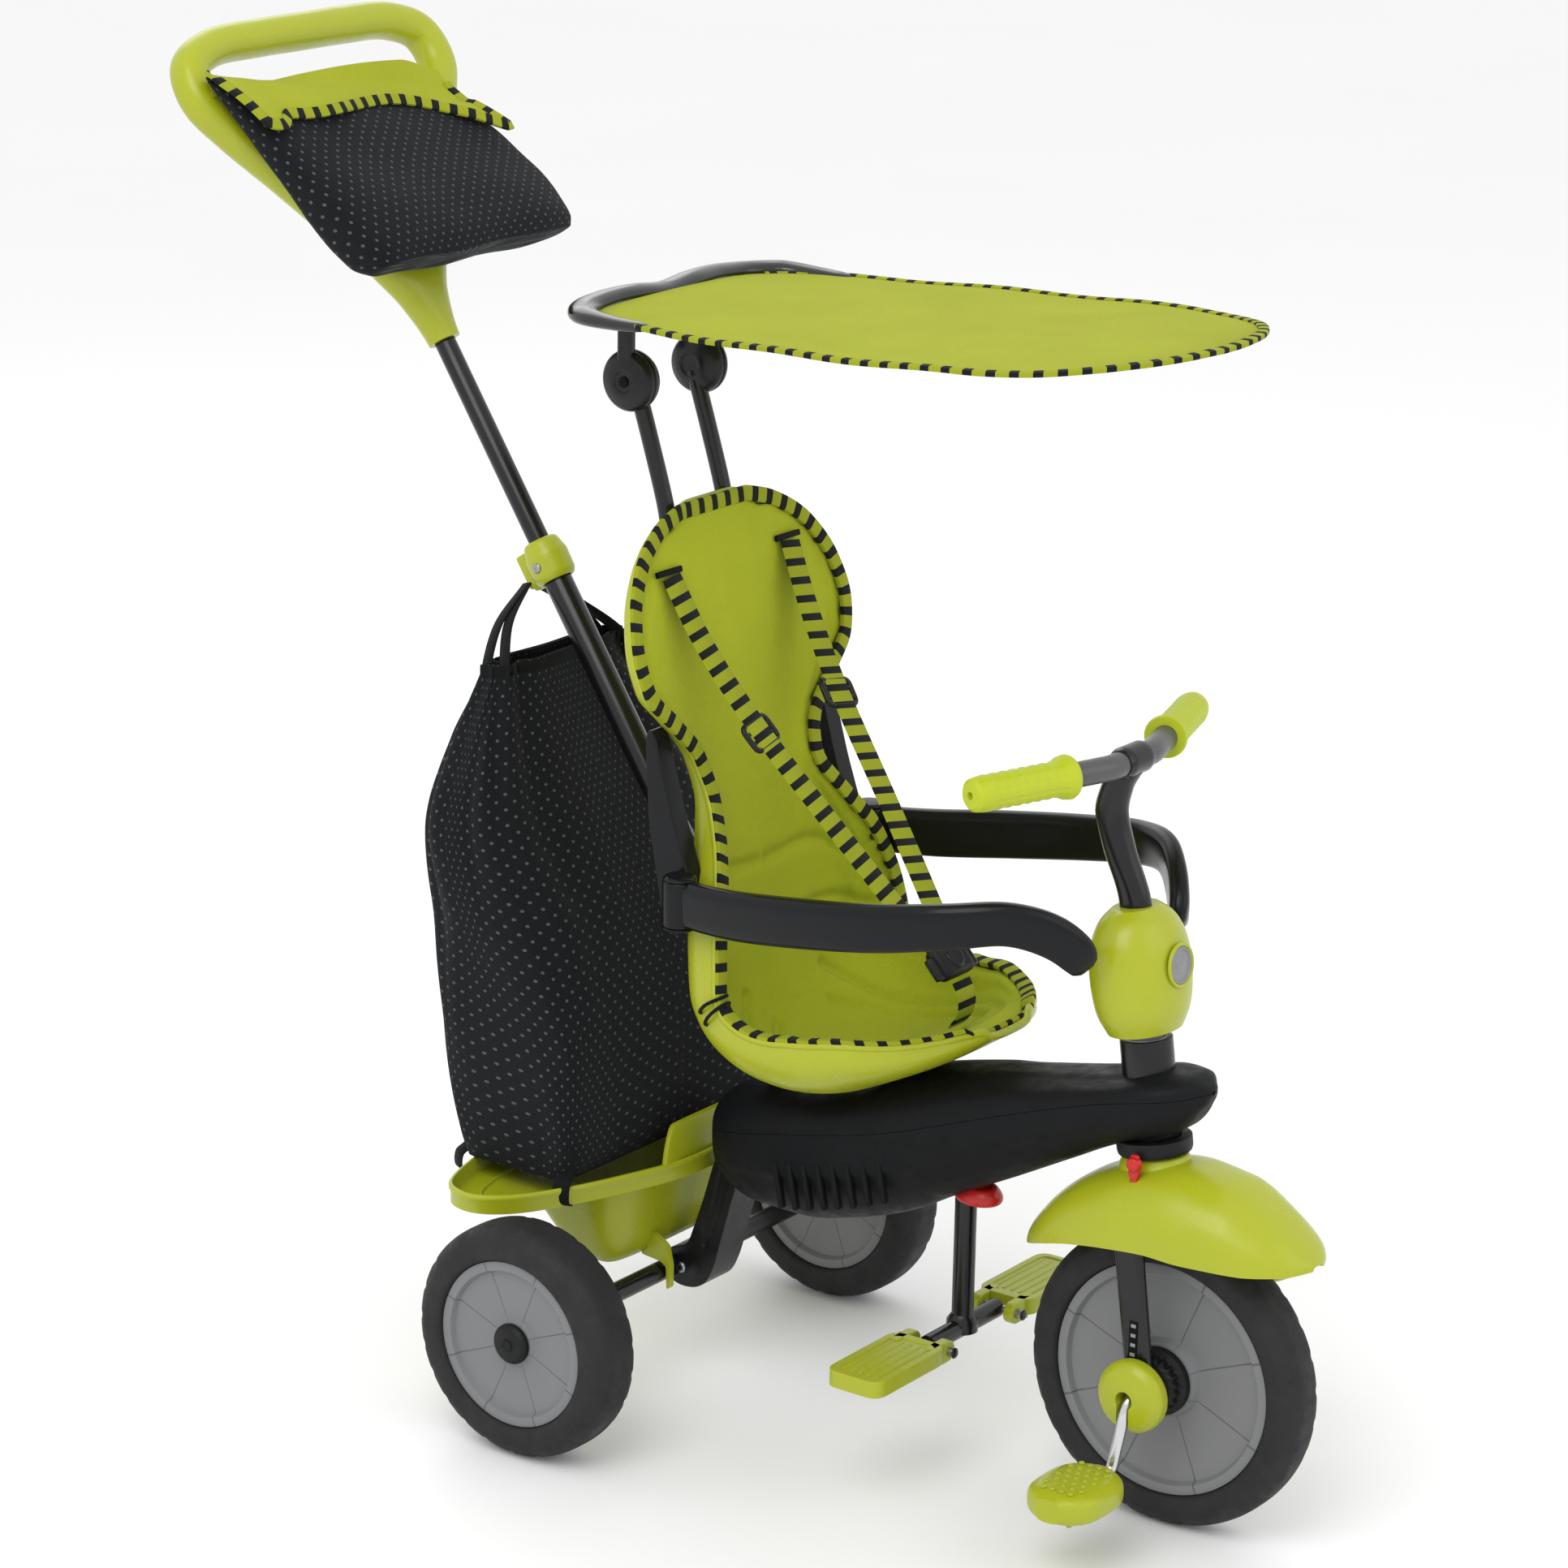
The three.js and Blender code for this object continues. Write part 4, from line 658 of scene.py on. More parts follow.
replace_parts(tyre("front_tyre_round", FRONT, 0, "front_wheel", 28), "front_tyre")
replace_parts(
    wheel_disc("front_disc_moulded", FRONT, 5.9, 0, "front_wheel"),
    "front_wheel_disc",
)
front_centre = vec(WHEELBASE, 0, FRONT_AXLE_Z)
for side, sign in SIDES:
    ring = [(5.9, 19.4), (28, 19.4), (28, 26), (24, 28), (24, 35), (19, 37), (19, 42.6), (5.9, 42.6)]

    def teeth(column, radius, along):
        return -2.2 if radius > 22 and 27 < along < 36 and column % 4 < 2 else 0.0

    hub = lathe(
        f"clutch_hub_toothed_{side}", rounded(ring, 1, 2, closed=True), front_centre, (0, sign, 0),
        look["black_satin"],
        "front_wheel", sides=80, loop=True, dent=teeth,
    )
    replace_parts(hub, f"clutch_hub_{side}")

axle = tube(
    "rear_axle_round", [(0, y, REAR_AXLE_Z) for y in np.linspace(-233, 233, 9)], 8.5, look["steel"], "frame"
)
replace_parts(axle, "rear_axle")

# ---------------------------------------------------------------- crank and pedals
CRANK_RADIUS, CRANK_LEAN = 60, math.radians(5)


def crank_point(y, up):
    """A point of the crank: up is its height along the leaning arm."""
    return front_centre + vec(up * math.sin(CRANK_LEAN), y, up * math.cos(CRANK_LEAN))


arm = [
    (30, 0), (51.5, 0), (62.5, 1), (68.5, 9), (72, 28), (76, 45), (79, 56), (83, 59.5), (87, 60), (110, 60),
    (162, 60)
]
wires = []
for side, sign in SIDES:
    line = smooth([crank_point(sign * y, sign * up) for y, up in arm], 90)
    wires.append(tube(f"crank_wire_{side}", line, 4.5, look["chrome"], "crank", sides=20))
through = [crank_point(y, 0) for y in (-53, -20, 20, 53)]
wires.append(tube("crank_through", through, 5.5, look["chrome"], "crank", sides=20))
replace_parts(join(wires), "pedal_crank")

for side, sign in SIDES:
    inner = 53.4
    profile = [(0, 0), (28, 0), (30, 3), (29.5, 11), (24, 17), (12, 20), (0, 20.5)]
    profile = rounded([(r, a + inner) for r, a in profile], 2.5, 3)
    boss = lathe(
        f"crank_boss_domed_{side}", profile, front_centre, (0, sign, 0), look["lime"], "crank", sides=64
    )
    far = sign * (inner + 40)
    near = sign * (inner - 5)
    turn = (0, math.degrees(CRANK_LEAN), 0)
    slit = block(
        f"slit_{side}", (11, 50, 40), crank_point(sign * 70, sign * 20), look["lime"], None, turn, corner=0
    )
    well_path = [crank_point(near, 0), crank_point((near + far) / 2, 0), crank_point(far, 0)]
    well = tube(f"well_{side}", well_path, 7.5, look["lime"], None)
    carve(boss, slit, well)
    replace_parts(boss, f"crank_boss_{side}")

PEDAL = {"long": 64, "wide": 80, "high": 27, "y": 130}
for side, sign in SIDES:
    body = f"pedal_{side}"
    centre = crank_point(sign * PEDAL["y"], sign * CRANK_RADIUS)
    rings = []
    for t in np.linspace(-1, 1, 29):
        swell = max(0.35, (1 - abs(t) ** 3.2) ** 0.5)
        ring = []
        for a in around(48):
            x = PEDAL["long"] / 2 * swell * power(math.cos(a), 3)
            z = PEDAL["high"] / 2 * (0.55 + 0.45 * swell) * power(math.sin(a), 3.5)
            ring.append(centre + vec(x, t * PEDAL["wide"] / 2, z))
        rings.append(ring)
    parts = [skin(f"pedal_moulded_{side}", rings, look["lime"], body, ring=True)]
    for row, y in enumerate((-27, -18, -9, 0, 9, 18, 27)):
        for column, x in enumerate((-16, -8, 0, 8, 16) if row % 2 else (-12, -4, 4, 12)):
            for top in (-1, 1):
                place = centre + vec(x, y, top * (PEDAL["high"] / 2 - 0.4))
                stud = block(
                    f"pedal_stud_{side}_{row}_{column}_{top}", (4.4, 4.4, 2.8), place, look["lime"], body,
                    (0, 0, 45), 1.2,
                )
                parts.append(stud)
    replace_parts(join(parts), f"pedal_{side}")

# ---------------------------------------------------------------- fork, fender and steering head
crown = steer_point(262)
fork_parts = []
for side, sign in SIDES:
    outline = [crown[[0, 2]] + vec(13, 0), crown[[0, 2]] - vec(13, 0)]
    for a in np.linspace(math.pi, 2 * math.pi, 17):
        outline.append(front_centre[[0, 2]] + 12 * vec(math.cos(a), math.sin(a)))
    leg = prism(f"fork_leg_{side}", outline, (sign * 43, sign * 53), look["steel"], "steering", corner=4.8)
    fork_parts.append(leg)
    centre_x = steer_point(166)[0]
    # A near-black slab on the fork leg: painted shade in the slot.
    fork_parts.append(
        block(
            f"fork_slot_shade_{side}", (8, 1, 34), vec(centre_x, sign * 53, 166), look["hole"], "steering",
            corner=0.4,
        )
    )
    for i, z in enumerate((155, 163, 171, 179)):
        mark = block(
            f"fork_mark_{side}_{i}", (4.5, 1.4, 3), vec(centre_x, sign * 53.2, z), look["badge"],
            "steering", corner=0.4,
        )
        fork_parts.append(mark)
fork_parts.append(
    block("fork_crown", (30, 106, 12), crown - vec(0, 0, 5), look["steel"], "steering", corner=4)
)
steerer = [steer_point(z) for z in np.linspace(257, 396, 6)]
fork_parts.append(tube("fork_steerer", steerer, 14, look["steel"], "steering", sides=32))
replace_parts(join(fork_parts), "fork")

FENDER = [  # x, top z, edge z, half width
    (346, 214, 208, 12), (362, 238, 215, 36), (385, 264, 225, 51), (415, 284, 234, 58), (450, 297, 240, 61),
    (490, 303, 243, 61), (530, 299, 243, 57), (565, 281, 242, 47), (590, 262, 242, 33), (599, 253, 243, 20),
    (604, 247, 243.5, 8),
]


def fender_skin(wall):
    rows = []
    for x in np.concatenate(
        [np.linspace(346, 370, 8), np.linspace(375, 580, 36), np.linspace(583, 604, 14)]
    ):
        top, edge, half = read(FENDER, x)
        raised = 1.6 * ease(x, 484, 515) * (1 - ease(x, 560, 590))
        row = []
        for a in np.linspace(0, math.pi, 41):
            y = -max(2, half - wall) * power(math.cos(a), 2.4)
            z = edge + (top - wall - edge) * power(math.sin(a), 2.15)
            band_lift = raised * (1 - ease(abs(y), 24, 29)) - raised
            nudge = wall * 0.8 if x == FENDER[0][0] else -wall * 0.8 if x == FENDER[-1][0] else 0
            row.append((x + nudge, y, z + band_lift * (1 if wall == 0 else 0.5)))
        rows.append(row)
    return rows


fender = bevel(
    plate("fender_moulded", fender_skin(0), fender_skin(2.5), look["lime"], "steering", sharp=30), 0.8
)
neck_profile = rounded([(16, 303), (27, 303), (29, 298), (33, 291), (39, 284), (42, 276), (16, 276)], 3, 4)
neck = lathe(
    "fender_neck", [(r, (z - 303) / STEER_AXIS[2]) for r, z in neck_profile], steer_point(303), STEER_AXIS,
    look["lime"], "steering", wide=0.86,
)
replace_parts(join([fender, neck]), "fender")

head_centre = steer_point(396)


def steer_lathe(name, profile, material, body, **more):
    """Turned about the steering axis; the profile's second number is a height."""
    placed = [(r, (z - 396) / STEER_AXIS[2]) for r, z in profile]
    return lathe(name, placed, head_centre, STEER_AXIS, material, body, **more)


head_profile = rounded([(14.6, 305), (21, 305), (21, 396), (14.6, 396)], 0.8, 2, closed=True)
head = steer_lathe("head_tube_round", head_profile, look["steel"], "frame", loop=True)
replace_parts(head, "head_tube")
collar_profile = rounded(
    [(21.4, 304.5), (29, 304.5), (30, 308), (30, 317), (21.4, 317)], 1.2, 3, closed=True
)
collar = steer_lathe("neck_collar_round", collar_profile, look["black_satin"], "frame", loop=True)
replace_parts(collar, "neck_collar")

outline = [(31, 403), (38, 418), (41, 436), (41.5, 456), (38.5, 475), (30.5, 491), (20, 500)]
egg = [(15.2, 403), *smooth(outline, 26), (15.2, 500)]
cover = steer_lathe(
    "head_cover_egg", egg, look["lime"], "steering", sides=96, deep=0.88, wide=1.14, sharp=50
)
BADGE_AXIS = unit(vec(1, 0, 0.12))
badge_centre = steer_point(458) - vec(0, 0, 2)
socket = lathe(
    "badge_socket", [(0, 30), (15.6, 30), (15.6, 60), (0, 60)], badge_centre, BADGE_AXIS, look["lime"], None
)
carve(cover, socket)
bead = [
    badge_centre + BADGE_AXIS * 37.2 + 16.4 * (
        math.cos(a) * vec(0, 1, 0) + math.sin(a) * vec(-0.12, 0, 0.993)
    )
    for a in around(48)
]
rim = tube("badge_rim", bead, 1.6, look["lime"], "steering", sides=12, closed=True)
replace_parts(join([cover, rim]), "head_cover")
badge_profile = [
    (0, 29), (15, 29), (15, 37.6), (14.2, 38.4), (12.6, 38.4), (12, 37.2), (7, 37.6), (6.4, 38.2), (0, 38.4)
]
badge = lathe(
    "head_badge_ringed", rounded(badge_profile, 0.5, 2), badge_centre, BADGE_AXIS, look["badge"], "steering"
)
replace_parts(badge, "head_badge")

STEM = [  # z, offset from the steering axis, half length, half width
    (399.5, 0, 11, 11), (470, 0, 11, 11), (500, 0, 13.5, 11), (545, -11, 13.5, 12), (570, -15, 13.5, 12),
    (592, -8, 13, 12), (606, 2, 12.5, 12),
]
rings = []
for z in np.linspace(399.5, 606, 48):
    offset, half_x, half_y = read(STEM, z)
    turns = around(36)
    rings.append(
        [steer_point(z) + vec(offset + half_x * math.cos(a), half_y * math.sin(a), 0) for a in turns]
    )
stem = skin("handlebar_stem_oval", rings, look["steel"], "steering", ring=True)


def bar_point(y):
    return vec(417 - 0.288 * max(0, abs(y) - 28) ** 1.02, y, 615.5)


clamp_line = [bar_point(y) for y in np.linspace(-17, 17, 9)]
clamp = tube(
    "handlebar_clamp", clamp_line, [(0, 11), (0.1, 12.6), (0.9, 12.6), (1, 11)], look["steel"], "steering"
)
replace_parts(join([stem, clamp]), "handlebar_stem")
bar_line = smooth([bar_point(y) for y in range(-150, 151, 10)], 60)
bar = tube("handlebar_tube_round", bar_line, 10, look["bar"], "steering", sides=32)
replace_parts(bar, "handlebar_tube")
for side, sign in SIDES:
    inner, outer = bar_point(sign * 69), bar_point(sign * 160)
    length = np.linalg.norm(outer - inner)
    profile = [(10.4, 0), (16.5, 0), (17.5, 2.5), (16.6, 8)]
    for t in np.linspace(0.14, 0.86, 40):
        profile.append((13.4 + 0.75 * math.sin(t * 5 * 2 * math.pi) ** 2, t * length))
    profile += [
        (13.6, length - 8), (12.8, length - 3), (10, length - 0.5), (3.2, length), (2.6, length - 4),
        (0, length - 4)
    ]

    def flutes(column, radius, along):
        return -0.5 if along > 12 and along < length - 10 and column % 8 < 2 else 0.0

    grip = lathe(
        f"grip_moulded_{side}", profile, inner, unit(outer - inner), look["lime_grip"], "steering",
        sides=72, dent=flutes
    )
    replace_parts(grip, f"grip_{side}")

lever_parts = [
    tube("lever_hub", [(457, y, 297.5) for y in (-38, -35.5, -33)], 4.5, look["red"], "clutch_lever"),
    block("lever_tongue", (7, 4.2, 25), vec(457, -35, 299.5), look["red"], "clutch_lever", corner=1.6),
    lathe(
        "lever_pad", rounded([(0, 0), (6.5, 0), (6.5, 2), (5.2, 6.2), (0, 7)], 1.4, 3),
        vec(457, -34.2, 304.5), (0, -1, 0),
        look["red"], "clutch_lever", sides=32,
    ),
]
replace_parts(join(lever_parts), "clutch_lever")

# ---------------------------------------------------------------- frame and body
BODY = [  # x, bottom z, seam z, top z, half width
    (46, 214, 238, 256, 28), (60, 190, 242, 272, 48), (92, 176, 250, 285, 60), (140, 176, 262, 293, 66),
    (190, 187, 273, 304, 66), (235, 203, 284, 322, 62), (280, 228, 299, 334, 57), (330, 254, 317, 345, 51),
    (385, 284, 336, 356, 47), (430, 308, 350, 366, 45), (462, 320, 357, 374, 41), (486, 333, 361, 375, 31),
    (498, 350, 363, 370, 15), (502.5, 357, 363.6, 368, 8), (504, 362, 363.8, 365.4, 2.5),
]


def body_skin(turn, wall):
    """Half of the body: turn is 1 for the upper shell and -1 for the lower one."""
    rows = []
    for x in np.concatenate([np.linspace(46, 70, 12), np.linspace(75, 470, 90), np.linspace(474, 504, 18)]):
        bottom, seam, top, half = read(BODY, x)
        height = max(0.4, (top - seam if turn > 0 else seam - bottom) - wall)
        nudge = wall if x == BODY[0][0] else -wall if x == BODY[-1][0] else 0
        row = []
        for a in np.linspace(0, math.pi, 49):
            y = max(0.4, half - wall) * power(math.cos(a), 2.8)
            lift = power(math.sin(a), 2.5)
            if turn > 0:
                lift_z = 0.2 + (height - 0.2) * lift
                inset = -1.6 * (ease(abs(y), 15, 20)) * (
                    1 - ease(x, 430, 470)
                ) * ease(x, 300, 330) * ease(lift, 0.6, 0.95)
                point = (x + nudge, y, seam + lift_z + inset)
            else:
                step = 3.0 * ease(lift, 0.42, 0.5) * ease(x, 60, 90) * (1 - ease(x, 400, 450))
                y -= math.copysign(min(step, abs(y)), y) if wall == 0 else 0
                point = (x + nudge, y, seam - 0.2 - (height - 0.2) * lift)
            row.append(point)
        rows.append(row)
    return rows


shell = plate("body_upper_moulded", body_skin(1, 0), body_skin(1, 3), look["body"], "frame", sharp=40)
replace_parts(bevel(shell, 0.8), "body_shell_upper")
lower_parts = [
    plate("body_lower_moulded", body_skin(-1, 0), body_skin(-1, 3), look["body"], "frame", sharp=40)
]
for side, sign in SIDES:
    for i, x in enumerate(range(138, 240, 14)):
        bottom, seam, top, half = read(BODY, x)
        size = (5, 7, (seam - bottom) * 0.46)
        place = vec(x, sign * (half - 3.4), seam - (seam - bottom) * 0.52)
        fin = block(f"body_fin_{side}_{i}", size, place, look["body"], "frame", turn=(0, -12, 0), corner=2)
        lower_parts.append(fin)
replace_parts(join(lower_parts), "body_shell_lower")

backbone = tube(
    "frame_backbone_round", [(52, 0, 228), (238, 0, 281.5), (424, 0, 335)], 13, look["steel"], "frame"
)
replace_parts(backbone, "frame_backbone")
BRACKET = [
    (54, 262), (80, 262), (74, 222), (56, 160), (42, 108), (34, 90), (22, 82), (4, 81), (-8, 88), (-12, 99),
    (-8, 111), (4, 116), (14, 120), (28, 160), (44, 214),
]
bracket = prism(
    "rear_bracket_moulded", rounded(BRACKET, 8, 4, closed=True), (-19, 19), look["black"], "frame", 0
)
panel = [(56, 246), (70, 246), (65, 222), (48, 160), (36, 122), (28, 122), (38, 160), (50, 214)]
for sign in (-1, 1):
    recess = prism(
        "bracket_recess", rounded(panel, 5, 4, closed=True), sorted((sign * 17.2, sign * 25)),
        look["black"], None, 0
    )
    carve(bracket, recess)
bevel(bracket, 1.2)
parts = [bracket]
for sign in (-1, 1):
    for x, z in ((8, 98), (64, 236)):
        head = rounded(
            [(0, 18), (5, 18), (5, 20.4), (3.6, 21.6), (2, 21.6), (1.6, 20.2), (0, 20.2)], 0.5, 2
        )
        parts.append(
            lathe(
                f"bracket_screw_{sign}_{x}", head, vec(x, 0, z), (0, sign, 0), look["screw"], "frame",
                sides=24,
            )
        )
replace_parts(join(parts), "rear_bracket")

# ---------------------------------------------------------------- footrest
REST_X, REST_Z = 279, 110
rest = [
    tube("rest_post", [(REST_X, 0, z) for z in np.linspace(REST_Z, 245, 5)], 9, look["steel"], "footrest"),
    tube("rest_bar", [(REST_X, y, REST_Z) for y in np.linspace(-50, 50, 5)], 8, look["steel"], "footrest"),
    lathe(
        "rest_weld", [(0, -3), (13, -3), (13, 6), (9, 12), (0, 12)], vec(REST_X, 0, REST_Z), (0, 0, 1),
        look["steel"], "footrest", sides=40,
    ),
]
for side, sign in SIDES:
    pin = [(x, sign * 50, REST_Z) for x in np.linspace(REST_X - 27, REST_X + 27, 5)]
    rest.append(tube(f"rest_pin_{side}", pin, 4, look["screw"], "footrest", sides=20))
    for end in (-1, 1):
        head = rounded([(0, 0), (4.6, 0), (4.6, 1), (3, 2), (0, 2.2)], 0.6, 2)
        place = vec(REST_X + end * 26, sign * 50, REST_Z)
        rest.append(
            lathe(f"rest_rivet_{side}_{end}", head, place, (end, 0, 0), look["steel"], "footrest", sides=24)
        )
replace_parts(join(rest), "footrest_frame")

for side, sign in SIDES:
    body = f"foot_pad_{side}"
    outline = rounded([(253, 59), (305, 59), (305, 157), (253, 157)], 13, 6, closed=True)
    outline = [(x, sign * y) for x, y in outline]
    board = prism(f"foot_board_{side}", outline, (105, 119), look["lime"], body, corner=0, axes=(0, 1, 2))
    inner = [
        (x, sign * y) for x, y in rounded([(259, 66), (299, 66), (299, 151), (259, 151)], 9, 6, closed=True)
    ]
    carve(board, prism("board_recess", inner, (117.8, 125), look["lime"], None, corner=0, axes=(0, 1, 2)))
    bevel(board, 1.6)
    parts = [board]
    for i, x in enumerate(range(263, 299, 8)):
        place = vec(x, sign * 108.5, 117.3)
        parts.append(block(f"board_rib_{side}_{i}", (3, 74, 2.8), place, look["lime"], body, corner=1.2))
    for end in (-1, 1):
        x = REST_X + end * 16.5
        ear = [
            (50 + 9 * math.cos(a), REST_Z + 9 * math.sin(a))
            for a in np.linspace(math.pi / 2, 1.5 * math.pi, 13)
        ]
        ear += [(66, REST_Z - 9), (74, REST_Z + 9)]
        ear = [(sign * y, z) for y, z in ear]
        piece_ear = prism(
            f"board_ear_{side}_{end}", ear, (x - 4.5, x + 4.5), look["lime"], body, 1.2, axes=(1, 2, 0)
        )
        parts.append(piece_ear)
    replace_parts(join(parts), f"foot_pad_{side}")

profile = rounded([(9.6, 221), (17, 221), (21, 224), (21, 229), (16, 236), (9.6, 236)], 2.5, 4, closed=True)
button = lathe(
    "release_button_oval", [(r, z) for r, z in profile], vec(291, 0, 0), (0, 0, 1), look["red"],
    "release_button",
    wide=16 / 21, loop=True,
)
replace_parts(button, "release_button")

# ---------------------------------------------------------------- seat
SPINE = smooth(
    [(x, 0, z) for x, z in (
        (4, 757), (19, 665), (35, 560), (51, 470), (61, 410), (72, 367), (94, 336), (130, 315), (172, 308),
        (210, 313),
        (245, 328), (285, 349), (316, 371),
    )], 400,
)
SPINE_AT = np.linspace(0, 1, len(SPINE))
SPINE_TANGENT = np.gradient(SPINE, axis=0)
SEAT = [  # distance down the spine, half width, depth of the side walls
    (0, 34, 5), (14, 82, 10), (40, 118, 16), (75, 139, 22), (105, 145, 26), (135, 139, 28), (165, 112, 28),
    (200, 84, 28), (230, 78, 32), (265, 92, 46), (300, 112, 58), (345, 127, 62), (400, 135, 60),
    (480, 137, 62),
    (560, 136, 64), (604, 128, 54), (645, 102, 34), (675, 66, 18), (689, 34, 10),
]
SEAT_LENGTH = SEAT[-1][0]


def seat_point(t, turn, inset):
    """t: 0 at the top of the back, 1 at the front; turn: -1..1 across; inset: from the outside."""
    centre = vec(*(np.interp(t, SPINE_AT, SPINE[:, k]) for k in range(3)))
    tangent = unit(vec(*(np.interp(t, SPINE_AT, SPINE_TANGENT[:, k]) for k in range(3))))
    half, wall = read(SEAT, t * SEAT_LENGTH)
    a = turn * math.pi * 0.495
    rise = inset + (wall - inset) * (1 - power(math.cos(a), 3))
    return centre + vec(-tangent[2], 0, tangent[0]) * rise + vec(
        0, (half - inset) * power(math.sin(a), 3), 0
    )


def seat_inward(t):
    tangent = unit(vec(*(np.interp(t, SPINE_AT, SPINE_TANGENT[:, k]) for k in range(3))))
    return vec(-tangent[2], 0, tangent[0])


SEAT_ROWS = np.concatenate([[0, 0.004, 0.01], np.linspace(0.02, 0.98, 110), [0.99, 0.996, 1]])
SEAT_TURNS = np.linspace(-1, 1, 65)
skins = [[[seat_point(t, turn, inset) for turn in SEAT_TURNS] for t in SEAT_ROWS] for inset in (0.3, 4)]
shell = plate("seat_shell_moulded", *skins, look["lime"], "frame", sharp=60)
edge = [seat_point(t, -1, 2) for t in np.linspace(0, 1, 60)] + [
    seat_point(1, s, 2) for s in np.linspace(-0.6, 0.6, 8)
]
edge += [seat_point(t, 1, 2) for t in np.linspace(1, 0, 60)] + [
    seat_point(0, s, 2) for s in np.linspace(0.6, -0.6, 8)
]
lip = tube(
    "seat_rim_rolled", even(edge + edge[:1], 241)[:-1], 3.4, look["lime"], "frame", sides=14, closed=True
)
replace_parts(join([shell, lip]), "seat_shell")

LINER_IN = 5.4
LINER_DEPTH = [(0, 13), (0.45, 13), (0.62, 16.5), (0.9, 17), (1, 13)]
LINER_TOP, LINER_FRONT = 0.006, 0.99


def liner_skin(face):
    """The liner's hidden side, face 0, or its open side, face 1."""
    rows = []
    for t in np.linspace(LINER_TOP, LINER_FRONT, 90):
        near_end = min(
            ease(t, LINER_TOP - 0.001, LINER_TOP + 0.03),
            1 - ease(t, LINER_FRONT - 0.03, LINER_FRONT + 0.002),
        )
        row = []
        for share in np.linspace(-1, 1, 49):
            near_edge = min(near_end, 1 - ease(abs(share), 0.9, 1.01))
            full = float(read(LINER_DEPTH, t)[0]) - LINER_IN - 2.2
            depth = LINER_IN + (2.2 + full * near_edge) * face
            row.append(seat_point(t, share, depth))
        rows.append(row)
    return rows


def inflate(thing, back, front, voxel, pressure, limit):
    """Fills a closed mesh like a cushion, holding the side that lies on the points of back."""
    bake(thing)
    remesh = thing.modifiers.new("remesh", "REMESH")
    remesh.mode = "VOXEL"
    remesh.voxel_size = voxel / 1000
    remesh.use_smooth_shade = True
    bake(thing)
    mesh = thing.data
    rest = get_vectors(mesh)
    to_back, to_front = search_tree(back), search_tree(front)
    group = thing.vertex_groups.new(name="held")
    held = [i for i, p in enumerate(rest) if to_back.find(p)[2] < to_front.find(p)[2]]
    group.add(held, 1.0, "REPLACE")
    cloth = thing.modifiers.new("filling", "CLOTH")
    cloth.settings.use_pressure = True
    cloth.settings.uniform_pressure_force = pressure
    cloth.settings.effector_weights.gravity = 0
    cloth.settings.vertex_group_mass = "held"
    cloth.settings.quality = 4
    cloth.point_cache.frame_start = 1
    cloth.point_cache.frame_end = 20
    for frame_number in range(1, 21):
        bpy.context.scene.frame_set(frame_number)
    bake(thing)
    bpy.context.scene.frame_set(1)
    thing.vertex_groups.clear()
    mesh = thing.data
    step = get_vectors(mesh) - rest
    far = np.linalg.norm(step, axis=1, keepdims=True)
    moved = rest + step * np.minimum(1, limit / 1000 / np.maximum(far, 1e-9))
    set_positions(mesh, moved)
    subdivision = thing.modifiers.new("subdivision", "SUBSURF")
    subdivision.levels = subdivision.render_levels = 1
    bake(thing)
    thing.data.polygons.foreach_set("use_smooth", [True] * len(thing.data.polygons))
    return thing


def press(thing, lines, direction, depth, width):
    """Presses channels into a piece along lines of points; direction gives the way in at a point."""
    mesh = thing.data
    points = get_vectors(mesh)
    tree = search_tree([p for line in lines for p in line])
    for i, p in enumerate(points):
        distance = tree.find(p)[2] * 1000
        if distance < 3 * width:
            points[i] = p + direction(
                p * 1000 - vec(SHIFT_X, 0, 0)
            ) * depth / 1000 * math.exp(-((distance / width) ** 2))
    set_positions(mesh, points)
    mesh.update()


back_skin, front_skin = liner_skin(0), liner_skin(1)
liner = plate("seat_liner_padded", back_skin, front_skin, look["liner"], "frame")
inflate(
    liner, [p for row in back_skin for p in row], [p for row in front_skin for p in row], voxel=4.6,
    pressure=3.5, limit=4.5
)


def seat_line(points, count=60):
    """A line on the liner's face through (share of the spine, share across) pairs."""
    at = smooth([(t, share, 0) for t, share in points], count)
    return [seat_point(t, share, float(read(LINER_DEPTH, t)[0]) + 2) for t, share, _ in at]


def towards_shell(p):
    t = SPINE_AT[np.argmin(np.linalg.norm(SPINE - p * vec(1, 0, 1), axis=1))]
    return -seat_inward(t)


channels = []
for s in (-1, 1):
    channels.append(
        seat_line([(0.60, 0.2 * s), (0.68, 0.42 * s), (0.76, 0.56 * s), (0.86, 0.6 * s), (0.92, 0.5 * s)])
    )
    channels.append(
        seat_line([(0.66, 0.12 * s), (0.72, 0.3 * s), (0.79, 0.4 * s), (0.86, 0.4 * s), (0.9, 0.3 * s)])
    )
channels.append(seat_line([(0.92, -0.5), (0.94, -0.2), (0.945, 0), (0.94, 0.2), (0.92, 0.5)]))
channels.append(seat_line([(0.90, -0.3), (0.913, 0), (0.90, 0.3)]))
creases = [
    seat_line([(0.46, -0.75), (0.435, -0.35), (0.44, 0), (0.435, 0.35), (0.46, 0.75)]),
    seat_line([(0.535, -0.8), (0.515, -0.4), (0.52, 0), (0.515, 0.4), (0.535, 0.8)]),
]
press(liner, channels, towards_shell, 7.0, 4.6)
press(liner, creases, towards_shell, 6.5, 5.0)
slots = [[vec(34, sign * 80 + d, 712) for d in np.linspace(-14, 14, 15)] for sign in (-1, 1)]
press(liner, slots, towards_shell, 3.0, 4.0)
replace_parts(liner, "seat_liner")

RIM_IN, RIM_LIFT = 5.6, 2.2


def rim_point(t, share):
    inward = seat_inward(t)
    return seat_point(t, share, RIM_IN) + inward * RIM_LIFT, inward


